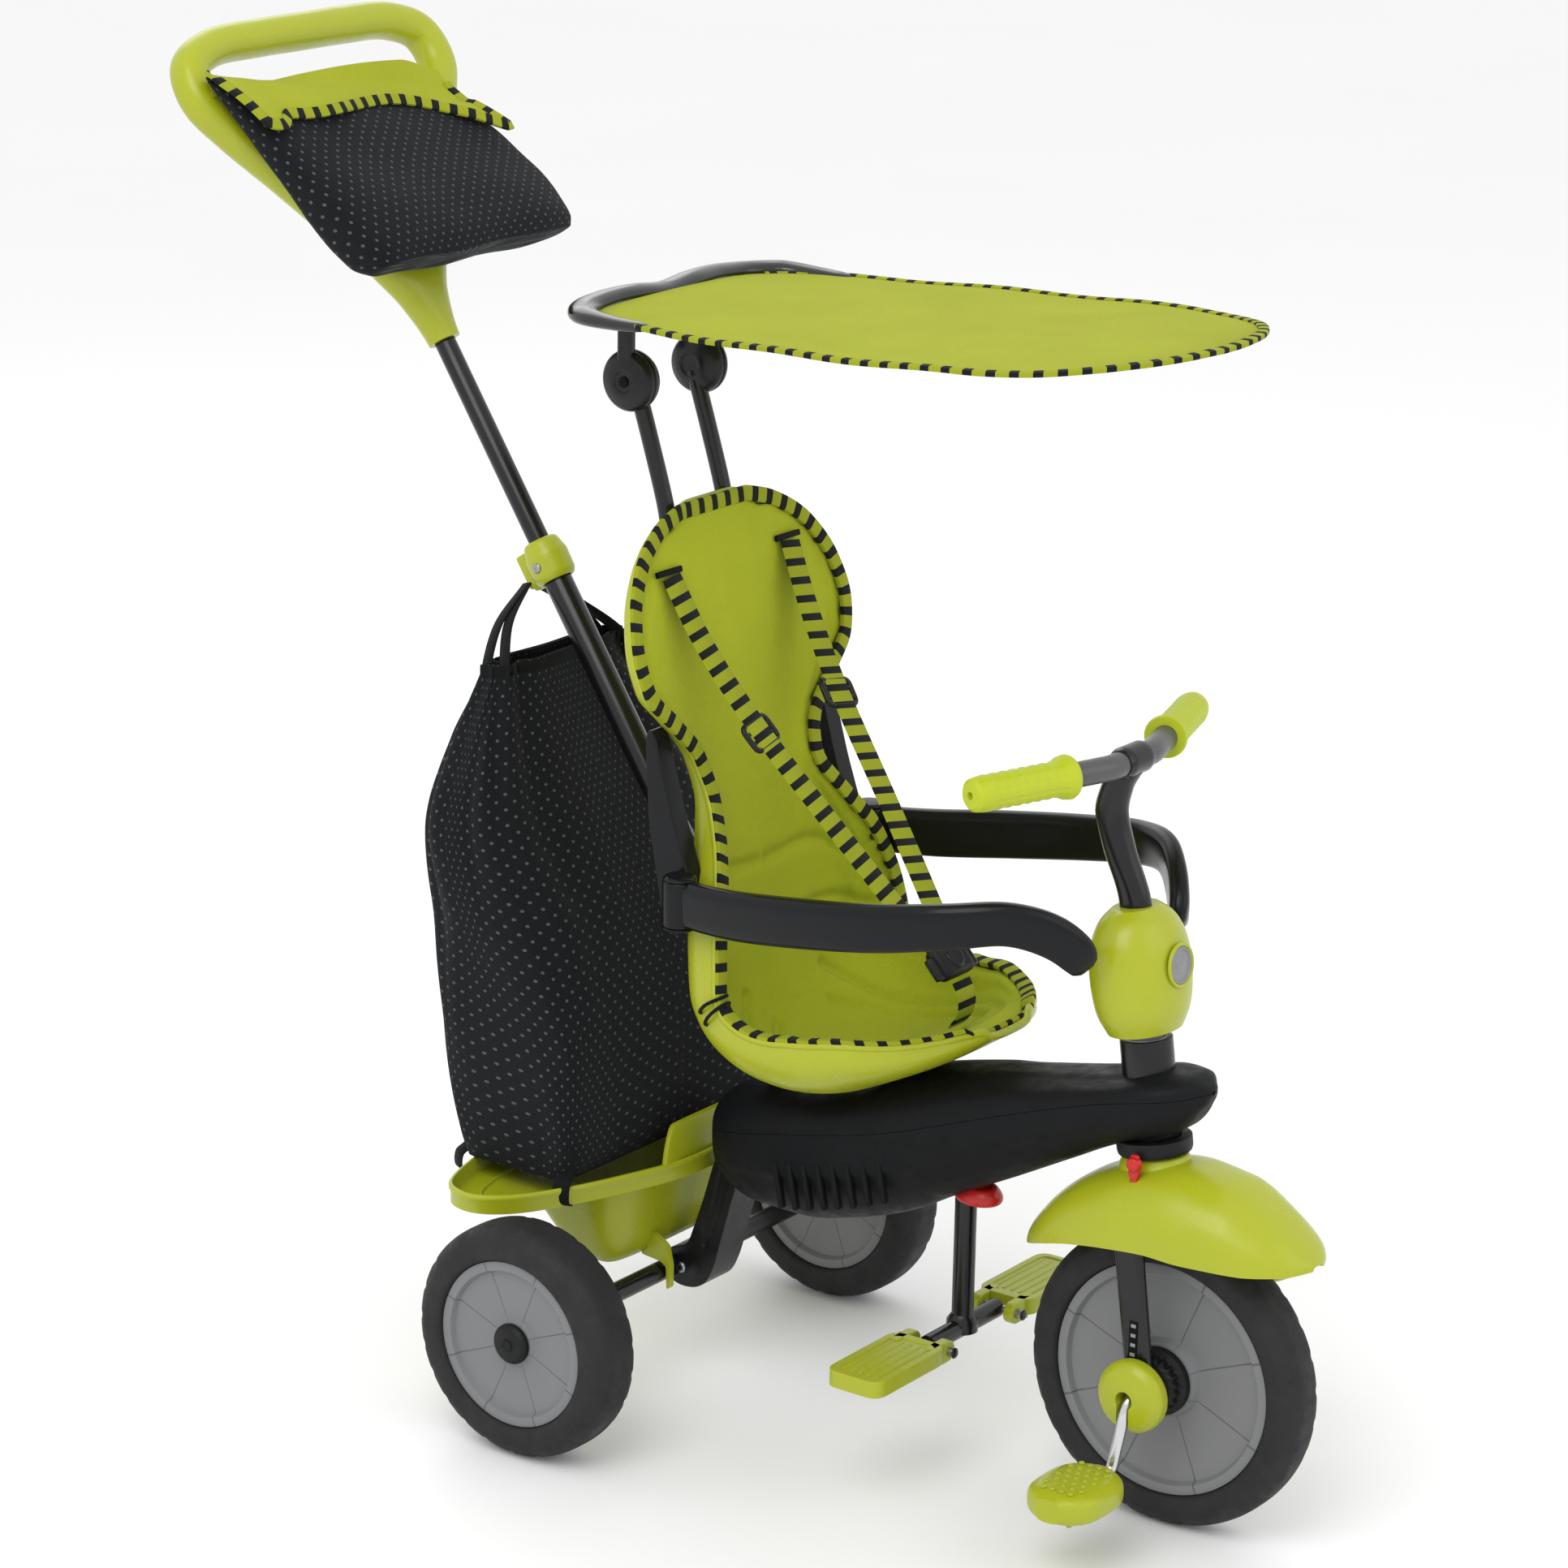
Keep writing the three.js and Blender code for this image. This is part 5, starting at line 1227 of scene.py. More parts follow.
sides = np.linspace(LINER_TOP, LINER_FRONT, 90)
across = np.linspace(-1, 1, 14)[1:-1]
border = [rim_point(t, -1) for t in sides] + [rim_point(LINER_FRONT, share) for share in across]
border += [rim_point(t, 1) for t in sides[::-1]] + [rim_point(LINER_TOP, share) for share in -across]
both = [np.concatenate(pair) for pair in border]
both = smooth(both, 420, closed=True)
binding = band("seat_liner_binding", both[:, :3], both[:, 3:], 13, 5, look["piping"], "frame", closed=True)

for side, sign in SIDES:
    ties = []
    for i, t in enumerate((0.585, 0.61)):
        knot = []
        for a in around(24):
            rim, inward = rim_point(t + 0.012 * math.sin(a), sign)
            knot.append(rim + vec(0, sign * 11 * math.cos(a), 0) - inward * (9 + 13 * math.sin(a)))
        ties.append(
            tube(f"liner_tie_{side}_{i}", knot, 1.5, look["webbing"], "frame", sides=10, closed=True)
        )
    join(ties)

# ---------------------------------------------------------------- harness
def strap_band(name, points, material, body, width=25, thickness=2.2, lift=1.2):
    line = smooth(points, 70)
    normals = []
    for t in np.gradient(line, axis=0):
        normals.append(unit(np.cross(t, vec(0, 1, 0))) * -1)
    return band(name, line + np.array(normals) * lift, normals, width, thickness, material, body)


def ring_buckle(name, centre, along, normal, size, material, body):
    """A rounded rectangular ring with a middle bar, threaded on a strap."""
    along, normal = unit(along), unit(normal)
    side = np.cross(along, normal)
    corners = [
        centre + a * along * size[0] / 2 + b * side * size[1] / 2 for a,
        b in ((1, 1), (1, -1), (-1, -1), (-1, 1))
    ]
    frame_line = even(
        rounded(corners, 6, 5, closed=True) + [rounded(corners, 6, 5, closed=True)[0]], 61
    )[:-1]
    parts = [tube(name, frame_line + normal * 2.4, 2.3, material, body, sides=12, closed=True)]
    for b in (-1, 1):
        middle = centre + normal * 2.8
        parts.append(
            tube(
                f"{name}_bar{b}",
                [middle - side * size[1] / 2 + along * b * 4, middle + side * size[1] / 2 + along * b * 4],
                1.7, material, body, sides=10,
            )
        )
    return join(parts)


for side, sign in SIDES:
    path = [
        vec(x, sign * y, z) for x, y,
        z in ((34, 80, 712), (60, 72, 662), (98, 60, 606), (170, 38, 520), (240, 15, 436))
    ]
    strap = strap_band(f"shoulder_webbing_{side}", path, look["strap"], "frame")
    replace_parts(strap, f"shoulder_strap_{side}")
    line = smooth(path, 70)
    at = 28 if sign < 0 else 26
    along = line[at + 1] - line[at - 1]
    normal = -np.cross(along, vec(0, 1, 0))
    adjuster = ring_buckle(
        f"strap_adjuster_{side}", line[at], along, normal, (23, 34), look["black"], "frame"
    )
    # A near-black block in the seat back: painted shade inside the strap slot.
    mouth = block(
        f"strap_slot_shade_{side}", (3, 33, 5), vec(30.5, sign * 80, 715), look["hole"], "frame", (0, -10, 0),
        corner=1,
    )

BUCKLE_LEAN = 48
buckle_centre, lean = vec(256, 0, 418), (0, BUCKLE_LEAN, 0)
parts = [
    block("harness_buckle_body", (28, 40, 14), buckle_centre, look["black_satin"], "frame", lean, corner=5)
]
turned = np.array(Euler((0, math.radians(BUCKLE_LEAN), 0)).to_matrix())
press_button = rounded([(0, 0), (9.5, 0), (9.5, 1.6), (7.5, 3), (0, 2.4)], 1, 3)
parts.append(
    lathe(
        "harness_buckle_press", press_button, buckle_centre + turned @ vec(0, 0, 5.6),
        turned @ vec(0, 0, 1), look["black"], "frame", sides=40,
    )
)
for sign in (-1, 1):
    tongue = buckle_centre + turned @ vec(-15, sign * 13, 1.5)
    parts.append(
        block(f"harness_tongue_{sign}", (22, 15, 5), tongue, look["black"], "frame", lean, corner=1.8)
    )
    end = buckle_centre + turned @ vec(2, sign * 22, 0)
    parts.append(block(f"harness_side_{sign}", (20, 12, 6), end, look["black"], "frame", lean, corner=2))
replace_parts(join(parts), "harness_buckle")
crotch = strap_band(
    "crotch_webbing", [vec(x, 0, z) for x, z in ((267, 404), (273, 392), (272, 378), (264, 366))],
    look["strap"], "frame", lift=0
)
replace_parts(crotch, "crotch_strap")

# ---------------------------------------------------------------- guard rail
RAIL = [  # x, y, z, half height
    (86, 131, 464, 19), (140, 141, 468, 20), (215, 150, 479, 20), (290, 151, 491, 19), (345, 139, 501, 18),
    (384, 115, 505, 17), (407, 92, 495, 17), (420, 76, 480, 16), (425, 68, 466, 15),
]
for side, sign in SIDES:
    pivot = vec(84, sign * 131, 464)
    line = smooth([(x, sign * y, z, half) for x, y, z, half in RAIL], 110)
    tangents = np.gradient(line[:, :3], axis=0)
    rings = []
    for i, (p, t) in enumerate(zip(line, tangents)):
        across = unit(vec(-t[1], t[0], 0))
        up = unit(np.cross(t, across))
        up = up if up[2] > 0 else -up
        end = min(1, (len(line) - 1 - i) / 5)
        close = 0.55 + 0.45 * math.sqrt(1 - (1 - end) ** 2)
        ring = []
        for a in around(48):
            swell = 9 * power(math.cos(a), 3) * (1 - 0.22 * max(0, math.sin(a + 0.5)))
            ring.append(p[:3] + across * swell * close + up * p[3] * close * power(math.sin(a), 4))
        rings.append(ring)
    arm_piece = skin(
        f"guard_arm_moulded_{side}", rings[3:], look["arm"], f"guard_arm_{side}", ring=True, sharp=60
    )
    knuckle = lathe(
        f"guard_knuckle_{side}", rounded([(9.8, -19), (14, -19), (14, 19), (9.8, 19)], 2, 3, closed=True),
        pivot, (0, 0, 1), look["arm"], f"guard_arm_{side}", sides=48, loop=True,
    )
    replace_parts(join([arm_piece, knuckle]), f"guard_arm_{side}")
    pin = [
        (0, -22.5), (11, -22.5), (13.5, -21), (13.5, -19.4), (9, -19.4), (9, 19.4), (13.5, 19.4),
        (13.5, 21), (11, 22.5), (0, 22.5)
    ]
    pin = rounded(pin, 0.6, 2)
    column = lathe(f"guard_pin_{side}", pin, pivot, (0, 0, 1), look["arm"], "frame", sides=40)
    wing_line = [
        (62, 430), (80, 432), (86, 450), (86, 478), (78, 500), (68, 528), (58, 562), (50, 590), (44, 598),
        (40, 590), (44, 520)
    ]
    wing_line = rounded(wing_line, 9, 4, closed=True)
    levels = sorted((sign * 102, sign * 121))
    wing = prism(f"guard_wing_{side}", wing_line, levels, look["arm"], "frame", corner=4.5)
    web = block(
        f"guard_web_{side}", (11, 30, 31), vec(77.5, sign * 118, 460.5), look["arm"], "frame", corner=4
    )
    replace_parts(join([column, wing, web]), f"guard_hinge_{side}")

# ---------------------------------------------------------------- canopy
PIVOT = vec(-36, 0, 855)


def canopy_z(x):
    return 922 + 0.045 * x


for side, sign in SIDES:
    y = sign * 38.4
    post = [vec(x, y, z) for x, z in ((-36, 850), (-21, 806), (-5.5, 757), (-1.5, 738), (4, 700))]
    parts = [tube(f"canopy_post_round_{side}", smooth(post, 50), 7, look["steel"], "frame", sides=28)]
    lens = [(0, 45.7), (25, 45.7), (25, 42), (22, 36), (14, 32), (9, 31), (8.4, 32.4), (0, 32.4)]
    parts.append(
        lathe(f"canopy_disc_in_{side}", rounded(lens, 2.2, 4), PIVOT, (0, sign, 0), look["black"], "frame")
    )
    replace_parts(join(parts), f"canopy_post_{side}")
    lens = [(0, 46.3), (25, 46.3), (25, 50), (22, 54), (14, 56.6), (9, 57), (8.2, 55.2), (0, 55.2)]
    parts = [
        lathe(f"canopy_disc_out_{side}", rounded(lens, 2, 4), PIVOT, (0, sign, 0), look["black"], "canopy")
    ]
    stub = vec(-37, sign * 51, (868 + canopy_z(-37)) / 2)
    parts.append(
        block(f"canopy_stub_{side}", (14, 9, canopy_z(-37) - 866), stub, look["black"], "canopy", corner=3)
    )
    # The screw in the disc's hollow is near-black: painted shade in the hollow.
    parts.append(
        lathe(
            f"canopy_screw_shade_{side}", rounded([(0, 55), (4.6, 55), (4.6, 56.4), (2, 57), (0, 56)], 0.5, 2),
            PIVOT, (0, sign, 0), look["hole"], "canopy", sides=24,
        )
    )
    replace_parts(join(parts), f"canopy_arm_{side}")

BOW = [(50, 135, -2), (16, 136, -1), (-16, 130, 1), (-36, 106, 2), (-41, 72, 4), (-39, 36, 4), (-38, 0, 1)]
half_bow = [vec(x, y, canopy_z(x) + rise) for x, y, rise in BOW]
bow_line = smooth(half_bow + [p * vec(1, -1, 1) for p in half_bow[-2::-1]], 150)
rings = []
for i, (p, t) in enumerate(zip(bow_line, np.gradient(bow_line, axis=0))):
    across = unit(vec(-t[1], t[0], 0))
    end = min(i, len(bow_line) - 1 - i) / len(bow_line)
    taper = min(1, 0.5 + 3 * end) * (0.5 + 0.5 * math.sqrt(min(1, end * 40)))
    turns = around(32)
    rings.append(
        [p + across * 12 * taper * math.cos(a) + vec(0, 0, 7 * taper * power(math.sin(a), 2.4))
        for a in turns]
    )
bow = skin("canopy_bow_moulded", rings, look["bow"], "canopy", ring=True, sharp=70)
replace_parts(bow, "canopy_bow")

SHEET = [  # x, half width
    (-27, 100), (-10, 122), (25, 134), (100, 148), (190, 157), (280, 160), (350, 156), (400, 141),
    (440, 115), (466, 84),
    (480, 52), (486, 22),
]


SHEET_REAR, SHEET_FRONT = SHEET[0][0], SHEET[-1][0]


def sheet_point(x, share, half, lift):
    sag = 3.2 * math.sin(
        math.pi * min(1, max(0, (x - SHEET_REAR) / (SHEET_FRONT - SHEET_REAR)))
    ) * (1 - share**2)
    wave = 0.8 * math.sin(x / 23) * share**6
    return vec(x, share * half, canopy_z(x) + lift - 6 * (share * half / 160) ** 2 - sag + wave)


def sheet_skin(lift):
    rows = []
    for x in np.concatenate([np.linspace(-27, 430, 90), np.linspace(436, 486, 22)]):
        half = float(read(SHEET, x)[0])
        rows.append([sheet_point(x, share, half, lift) for share in np.linspace(-1, 1, 61)])
    return rows


sheet = plate("canopy_sheet_cloth", sheet_skin(3.2), sheet_skin(1.8), look["canopy"], "canopy")
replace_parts(sheet, "canopy_sheet")
border = [sheet_point(x, -1, float(read(SHEET, x)[0]), 2.5) for x in np.linspace(-20, 486, 80)]
border += [sheet_point(486, share, 22, 2.5) for share in (-0.5, 0, 0.5)]
border += [p * vec(1, -1, 1) for p in border[79::-1]]
line = smooth(border, 360)
normals = [vec(0, 0, 1)] * len(line)
edging = band("canopy_binding", line, normals, 9, 4.6, look["piping"], "canopy")

# ---------------------------------------------------------------- push pole and handle
def pole_lathe(name, profile, base_z, material, body, **more):
    return lathe(name, profile, pole_point(base_z), POLE_AXIS, material, body, **more)


def run(z0, z1):
    return np.linalg.norm(pole_point(z1) - pole_point(z0))


lower = rounded([(9.4, 0), (12, 0), (12, run(272, 676)), (9.4, run(272, 676))], 0.6, 2, closed=True)
lower_tube = pole_lathe("push_tube_lower_round", lower, 272, look["steel"], "frame", sides=48, loop=True)
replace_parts(lower_tube, "push_tube_lower")
upper = rounded([(0, 0), (9, 0), (9, run(486, 878)), (0, run(486, 878))], 0.6, 2)
upper_tube = pole_lathe("push_tube_upper_round", upper, 486, look["steel"], "push_handle", sides=40)
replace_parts(upper_tube, "push_tube_upper")

profile = rounded(
    [(12.4, 0), (15.5, 0), (18, 5), (18.5, 22), (15, 34), (13, 36), (9.4, 36), (9.4, 14.5), (12.4, 14.5)],
    1.5, 3, closed=True,
)
collar = pole_lathe("pole_collar_moulded", profile, 664, look["lime"], "frame", loop=True)
tilt = math.degrees(math.atan2(POLE_AXIS[0], POLE_AXIS[2]))
base = pole_point(664)
lug = block(
    "pole_collar_lug", (12, 12, 30), base + vec(-28, 0, 3), look["lime"], "frame", (0, tilt, 0), corner=2.5
)
neck = block(
    "pole_collar_neck", (14, 11, 24), base + POLE_AXIS * 12 - POLE_FRONT * 17, look["lime"], "frame",
    (0, tilt, 0), corner=2.5,
)
screw = [(0, 17.6), (4.2, 17.6), (4.2, 19), (2.8, 19.8), (1.2, 19.8), (1.2, 19.2), (0, 19.2)]
screw_at = base + POLE_AXIS * 14
screws = [
    lathe(
        f"pole_collar_screw_{s}", rounded(screw, 0.4, 2), screw_at, (0, s, 0), look["screw"], "frame",
        sides=24,
    )
    for s in (-1, 1)
]
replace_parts(join([collar, lug, neck, *screws]), "pole_collar")

LOOP = [
    (84, 0), (92, 36), (125, 62), (170, 97), (212, 131), (242, 149), (270, 144), (285, 112), (288, 50),
    (288, 0)
]
loop_line = smooth([(s, y, 0) for s, y in LOOP] + [(s, -y, 0) for s, y in LOOP[-2:0:-1]], 190, closed=True)
rings = []
for p, t in zip(loop_line, np.roll(loop_line, -1, axis=0) - np.roll(loop_line, 1, axis=0)):
    across = unit(vec(-t[1], t[0], 0))
    ring = []
    for a in around(32):
        s, y, _ = p + across * 15.6 * power(math.cos(a), 2.3)
        ring.append(handle_point(s, y, 15.6 * power(math.sin(a), 2.3)))
    rings.append(ring)
loop = skin("push_handle_loop", rings, look["lime"], "push_handle", ring=True, loop=True, sharp=70)
rings = []
for s in np.linspace(0, 100, 40):
    half_y, half_n = read(
        [(0, 13, 13), (8, 14, 13.5), (40, 25, 15), (75, 46, 16), (94, 50, 14), (100, 50, 13)], s
    )
    turns = around(56)
    rings.append(
        [handle_point(s, half_y * power(math.cos(a), 2.5), half_n * power(math.sin(a), 2.2)) for a in turns]
    )
socket = skin("push_handle_socket", rings, look["lime"], "push_handle", ring=True, sharp=60)
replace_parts(join([loop, socket]), "push_handle")

POUCH = [  # distance up from the socket, half width, back, front
    (52, 134, 40, 74), (66, 142, 24, 79), (90, 144, 18, 74), (130, 144, 17.5, 62), (180, 144, 17.5, 48),
    (212, 143, 17.5, 34), (222, 138, 17.5, 22),
]
POUCH_LOW, POUCH_HIGH, POUCH_SHEAR = 52, 222, 0.22


def pouch_side(s, across):
    """Where a point across comes to lie: the left shoulder is drawn in, the right side widens upwards."""
    spread = 0.34 * (s - POUCH_LOW) / (POUCH_HIGH - POUCH_LOW) - 0.14 if across < 0 else 0
    return 8 + across * (1 + spread) - 26 * max(0, across / 144) ** 2 * ease(s, 120, 222)


def pouch_point(s, across, face, grow=0.0):
    """across is -1..1 over the width; face is 0 at the back and 1 at the front."""
    half, back, front = read(POUCH, min(POUCH_HIGH, max(POUCH_LOW, s)))
    y = pouch_side(s, across * (half + grow))
    return handle_point(
        s - POUCH_SHEAR * (s - POUCH_LOW) / (POUCH_HIGH - POUCH_LOW) * y, y,
        back + (front - back + grow) * face,
    )


rings = []
for s in np.concatenate([np.linspace(52, 66, 7), np.linspace(70, 206, 36), np.linspace(209, 222, 7)]):
    half, back, front = read(POUCH, s)
    middle, depth = (back + front) / 2, (front - back) / 2 - 1.5
    ring = []
    for a in around(96):
        n = middle + depth * power(math.sin(a), 3.4)
        y = pouch_side(s, (half - 3) * power(math.cos(a), 6))
        ring.append(handle_point(s - POUCH_SHEAR * (s - POUCH_LOW) / (POUCH_HIGH - POUCH_LOW) * y, y, n))
    rings.append(ring)
pouch = skin("handle_pouch_sewn", rings, look["dots"], "push_handle", ring=True, sharp=50)
subdivision = pouch.modifiers.new("subdivision", "SUBSURF")
subdivision.levels = subdivision.render_levels = 1
bake(pouch)


def sag_pouch(thing):
    """Soft folds on the front: it slumps outward low down and diagonal creases run across it."""
    mesh = thing.data
    co, no = get_vectors(mesh), get_vectors(mesh, "normal")
    local = co * 1000 - vec(SHIFT_X, 0, 0) - handle_point(0, 0, 0)
    s, y, n = local @ POLE_AXIS, local[:, 1], local @ POLE_FRONT
    fold = 1.6 * np.sin((s + 0.45 * y) / 17) * np.sin((y - 0.3 * s) / 41 + 1) + 0.9 * np.sin(
        (s - 0.7 * y) / 11 + 2
    )
    belly = 2.5 * np.exp(-(((s - 95) / 42) ** 2)) * np.cos(np.clip(y / 150, -1, 1) * math.pi / 2)
    on_front = 1 / (1 + np.exp(-(n - 30) / 4))
    co += no * ((fold * 0.8 + belly) * on_front / 1000)[:, None]
    set_positions(mesh, co)
    mesh.update()
    return thing


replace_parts(sag_pouch(pouch), "handle_pouch")

flap_rows = []
hem_line = []
for y in np.linspace(-1, 1, 81):
    drop = 196 + 11 * math.sin((y + 0.2) * 3.6) - 8 * y**2 - 26 * (
        1 - ease(y, -1, -0.75)
    ) * ease(y, -1.2, -0.8)
    ridge = pouch_point(222, y * 0.985, 0.5)
    top_y = ridge[1]
    top = handle_point(240 + 5 * math.cos(y * 2) - 10 * ease(y, 0.6, 1), top_y, 19.5)
    top[1] = top_y
    points = [top, top * 0.35 + ridge * 0.65 + POLE_FRONT * 4, pouch_point(218, y, 1.0) + POLE_FRONT * 2.6]
    for s in np.linspace(212, drop, 12):
        ripple = 1.3 * math.sin(y * 11) * ease(213 - s, 0, 25)
        points.append(pouch_point(s, y, 1.0) + POLE_FRONT * (2.4 + ripple + 2.5 * ease(213 - s, 0, 30)))
    column = even(points, 24)
    flap_rows.append(column)
    hem_line.append(column[-1])
flap_outer = np.array(flap_rows)
flap_inner = flap_outer - (POLE_FRONT * 0.5 + POLE_AXIS * 0.8)
flap = plate("pouch_flap_cloth", flap_outer, flap_inner, look["flap"], "push_handle")
side_lines = [flap_rows[0][4:], flap_rows[-1][4:]]
hem = smooth(list(side_lines[0]) + hem_line[1:-1:4] + list(side_lines[1][::-1]), 220)
hem_piece = band("pouch_flap_binding", hem, [POLE_FRONT] * len(hem), 10, 3.4, look["piping"], "push_handle")

# ---------------------------------------------------------------- storage bucket
TRAY = [
    (26, 0), (24, 40), (10, 92), (-12, 150), (-40, 196), (-66, 211), (-92, 203), (-114, 150), (-124, 60),
    (-124, 0),
]
tray_line = smooth([(x, y, 0) for x, y in TRAY] + [(x, -y, 0) for x, y in TRAY[-2:0:-1]], 128, closed=True)
TUB = [
    (111, -50, -18, 76), (116, -58, -12, 86), (140, -78, -4, 98), (170, -100, 2, 106), (200, -110, 6, 112)
]


def tray_ring(inset, z):
    return [vec(-49 + (x + 49) * (1 - inset / 75), y * (1 - inset / 211), z) for x, y, _ in tray_line]


def tub_ring(inset, z, at=None):
    rear, front, half = read(TUB, at if at is not None else z)
    ring = []
    for a in around(128):
        x = (rear + front) / 2 + ((front - rear) / 2 - inset) * power(math.cos(a), 5)
        ring.append(vec(x, (half - inset) * power(math.sin(a), 5), z))
    return ring


rings = [tub_ring(14, 111, 111), tub_ring(4, 111, 111), tub_ring(1, 112.5, 112), tub_ring(0, 116)]
rings += [tub_ring(0, z) for z in range(122, 184, 6)] + [tub_ring(-0.5, 186.2), tub_ring(-3, 187)]
rings += [
    tray_ring(6, 187), tray_ring(2.5, 187.2), tray_ring(1, 188), tray_ring(1, 198), tray_ring(-0.4, 200)
]
rings += [
    tray_ring(-0.6, 202.5), tray_ring(0.4, 204), tray_ring(2.2, 204.2), tray_ring(3, 203),
    tray_ring(3.4, 192)
]
rings += [
    tray_ring(5, 190.3), tray_ring(8, 190), tray_ring(22, 190), tray_ring(23, 192), tray_ring(25, 192.2),
    tray_ring(26, 190)
]
rings += [tub_ring(1, 190, 190), tub_ring(2.6, 189.4, 189), tub_ring(3, 187)]
rings += [tub_ring(3, z) for z in range(180, 118, -6)] + [
    tub_ring(4, 115.5, 116), tub_ring(8, 114.2, 114), tub_ring(16, 114.2, 114)
]
bucket = skin("storage_bucket_moulded", rings, look["lime"], "frame", ring=True, sharp=42)
parts = [bucket]
for y in (-40, 40):
    hook = [
        (-16, 134), (-2, 132), (10, 124), (14, 108), (14, 88), (10.5, 86), (9.6, 106), (4, 109.5),
        (-16, 111.5)
    ]
    parts.append(
        prism(
            f"bucket_hook_{y}", rounded(hook, 2, 3, closed=True), (y - 3, y + 3), look["lime"], "frame", 0.9
        )
    )
lip_rings = []
for z, front, half in ((200, 10, 60), (214, 9, 56), (224, 7, 50), (230, 5, 44), (232, 4, 40)):
    turns = around(40)
    lip_rings.append(
        [vec(8 + front + 3 * power(math.cos(a), 6), half * power(math.sin(a), 6), z) for a in turns]
    )
parts.append(bevel(skin("bucket_lip", lip_rings, look["lime"], "frame", ring=True), 1.2))
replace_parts(join(parts), "storage_bucket")

# ---------------------------------------------------------------- tote bag
BAG = [  # z, rear x, front x, half width
    (206, -126, -16, 148), (225, -132, -8, 152), (300, -152, -6, 155), (390, -176, -36, 153),
    (475, -192, -82, 146),
    (545, -180, -112, 118), (590, -166, -130, 92), (608, -160, -136, 82),
]


def bag_point(z, a, inset=0.0):
    rear, front, half = read(BAG, z)
    middle, depth = (rear + front) / 2, (front - rear) / 2
    boxy = 8 * (1 - ease(z, 215, 420))
    x = middle + (depth - inset) * power(math.cos(a), 3.2 + boxy)
    y = (half - inset) * power(math.sin(a), 4.5 + boxy)
    pull = ease(z, 240, 560)
    fold = 2.0 * math.sin(5 * a + z / 34) * math.sin(z / 57 + 2 * a) + 2.4 * pull * math.sin(11 * a + z / 60)
    for crease, lean, deep in (
        (4.05, 0.0016, 7), (4.95, -0.0012, 5), (1.9, 0.0014, 6), (3.2, 0.0008, 5), (5.9, 0.001, 4)
    ):
        fold -= deep * pull * bump(a, crease + lean * (560 - z), 0.11)
    out = unit(vec(math.cos(a) / max(depth, 20) * 60, math.sin(a) / half * 60, 0))
    return vec(x, y, z) + out * (fold * 0.75 * ease(z, 206, 240) - 0.4)


BAG_HEIGHTS = np.concatenate([[206.4, 208, 211], np.linspace(215, 600, 96), [604, 607]])
BAG_TURNS = around(160)
outer_rings = [[bag_point(z, a) for a in BAG_TURNS] for z in BAG_HEIGHTS]
inner_rings = [[bag_point(z, a, 1.4) for a in BAG_TURNS] for z in BAG_HEIGHTS[::-1]]
floor_in = [
    [vec(-70 + (p[0] + 70) * k, p[1] * k, 208.2) for p in outer_rings[0]] for k in (0.97, 0.6, 0.25)
]
floor_out = [
    [vec(-70 + (p[0] + 70) * k, p[1] * k, 206.2) for p in outer_rings[0]] for k in (0.25, 0.6, 0.97)
]
bag = skin(
    "tote_bag_sewn", floor_out + outer_rings + inner_rings + floor_in, look["dots"], "frame", ring=True,
    sharp=60,
)
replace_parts(bag, "tote_bag")

bag_parts = []
mouth = smooth([bag_point(601, a, -0.6) for a in around(60)], 140, closed=True)
out = [unit((p - mouth.mean(0)) * vec(1, 1, 0)) for p in mouth]
bag_parts.append(band("bag_mouth_hem", mouth, out, 12, 2.4, look["webbing"], "frame", closed=True))
lug_foot = pole_point(664) + vec(-29, 0, -9)
for side, sign in SIDES:
    for x_share, name in ((0.2, "front"), (0.85, "rear")):
        angle = math.acos(1 - 2 * x_share) if x_share < 1 else math.pi
        start = bag_point(600, sign * angle)
        middle = (start + lug_foot) / 2 + vec(-3, sign * 9, 4)
        line = smooth([start - vec(0, 0, 16), start, middle, lug_foot + vec(0, sign * 4, 2)], 40)
        normals = [unit(np.cross(t, vec(0.9, 0, 0.45))) for t in np.gradient(line, axis=0)]
        bag_parts.append(band(f"bag_strap_{side}_{name}", line, normals, 12, 1.8, look["webbing"], "frame"))
bag_trim = join(bag_parts)
ties = []
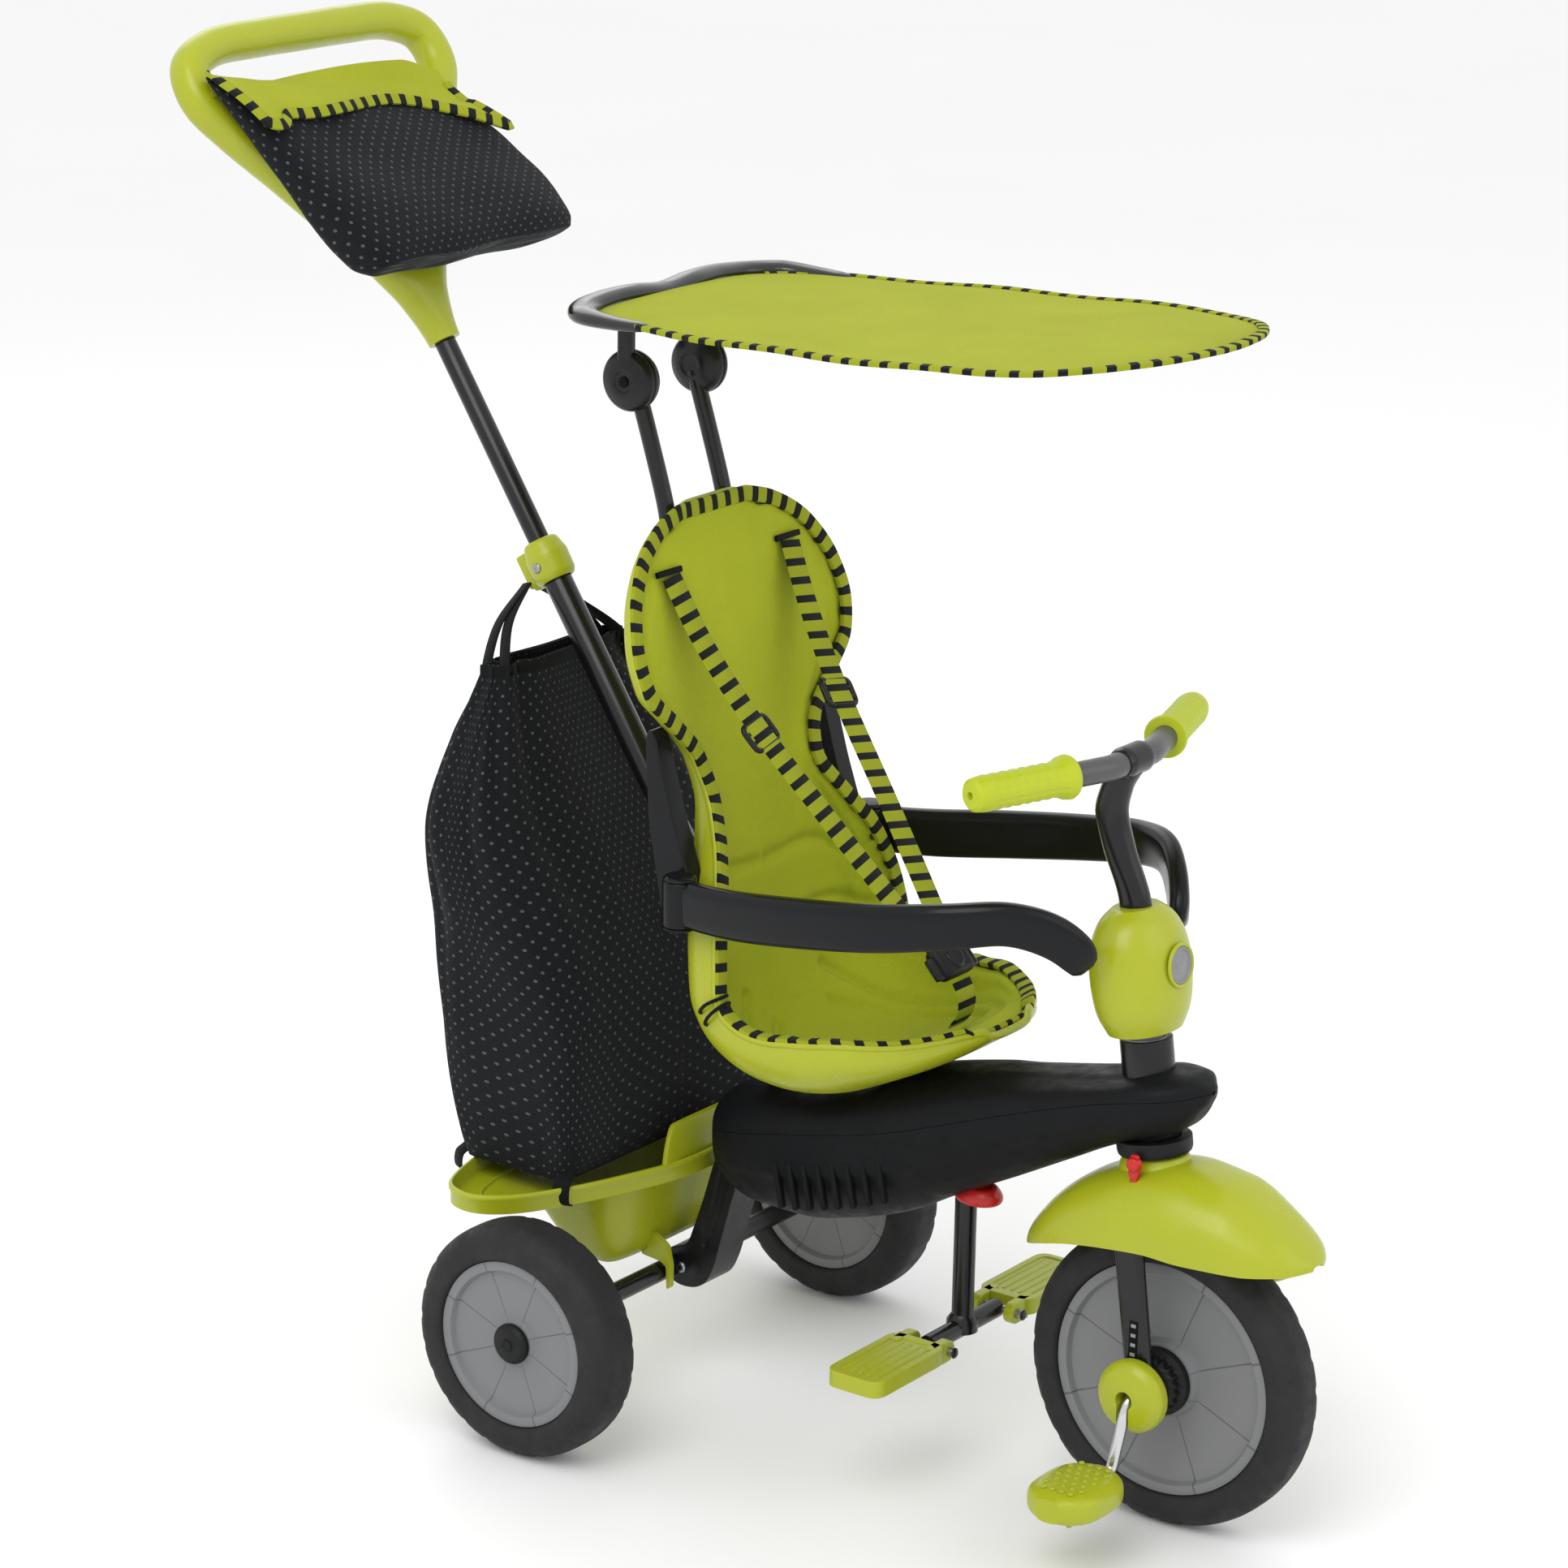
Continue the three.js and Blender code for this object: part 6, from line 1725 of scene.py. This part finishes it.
for side, sign in SIDES:
    for angle, name in ((0.93, "front"), (2.62, "rear")):
        top = bag_point(236, sign * angle, -0.8)
        low = bag_point(212, sign * angle, -0.8)
        outward = unit((low - vec(-60, 0, low[2])) * vec(1, 1, 0))
        under = low + outward * 9 - vec(0, 0, 8)
        line = smooth([top, low, under, under - vec(0, 0, 13), under - outward * 8 - vec(0, 0, 17)], 40)
        side_axis = np.cross(outward, vec(0, 0, 1))
        normals = [np.cross(unit(t), side_axis) for t in np.gradient(line, axis=0)]
        ties.append(band(f"bag_tie_{side}_{name}", line, normals, 15, 1.8, look["webbing"], "frame"))
join(ties)

# ---------------------------------------------------------------- stage, light and camera
def stage_material():
    made, tree, shader, where = start_material("pale_floor", 0.55)
    shade_out = mix(
        tree, noise(tree, where.outputs["Object"], 1.5), (0.91, 0.91, 0.915, 1), (0.94, 0.94, 0.945, 1)
    )
    tree.links.new(shade_out, shader.inputs["Base Color"])
    return made


floor_mesh = bpy.data.meshes.new("floor")
floor_mesh.from_pydata([(-9, -9, 0), (9, -9, 0), (9, 9, 0), (-9, 9, 0)], [], [(0, 1, 2, 3)])
floor_mesh.materials.append(stage_material())
floor = bpy.data.objects.new("floor", floor_mesh)
bpy.context.scene.collection.objects.link(floor)

world = bpy.data.worlds.new("studio")
bpy.context.scene.world = world
world.use_nodes = True
world.node_tree.nodes["Background"].inputs["Color"].default_value = (1, 1, 1, 1)
world.node_tree.nodes["Background"].inputs["Strength"].default_value = 1.0
for name, place, size, watts in (
    ("key_light", (0.6, -2.4, 3.2), 2.2, 48),
    ("fill_light", (2.8, 0.6, 2.0), 2.0, 10),
    ("back_light", (-2.4, 1.8, 2.6), 2.0, 14),
):
    data = bpy.data.lights.new(name, "AREA")
    data.energy, data.size = watts, size
    light = bpy.data.objects.new(name, data)
    light.location = place
    light.rotation_euler = (Vector((0, 0, 0.45)) - Vector(place)).to_track_quat("-Z", "Y").to_euler()
    bpy.context.scene.collection.objects.link(light)

camera_data = bpy.data.cameras.new("camera")
camera_data.sensor_width = 36
camera_data.lens = 114.52994
camera = bpy.data.objects.new("camera", camera_data)
turn = (
    Matrix.Rotation(math.radians(35.58), 4, "Z")
    @ Matrix.Rotation(math.radians(90 - 16.74), 4, "X")
    @ Matrix.Rotation(math.radians(1.24), 4, "Z")
)
camera.matrix_world = Matrix.Translation((2.25469, -3.13992, 1.69397)) @ turn
bpy.context.scene.collection.objects.link(camera)
bpy.context.scene.camera = camera
bpy.context.scene.view_settings.view_transform = "Standard"
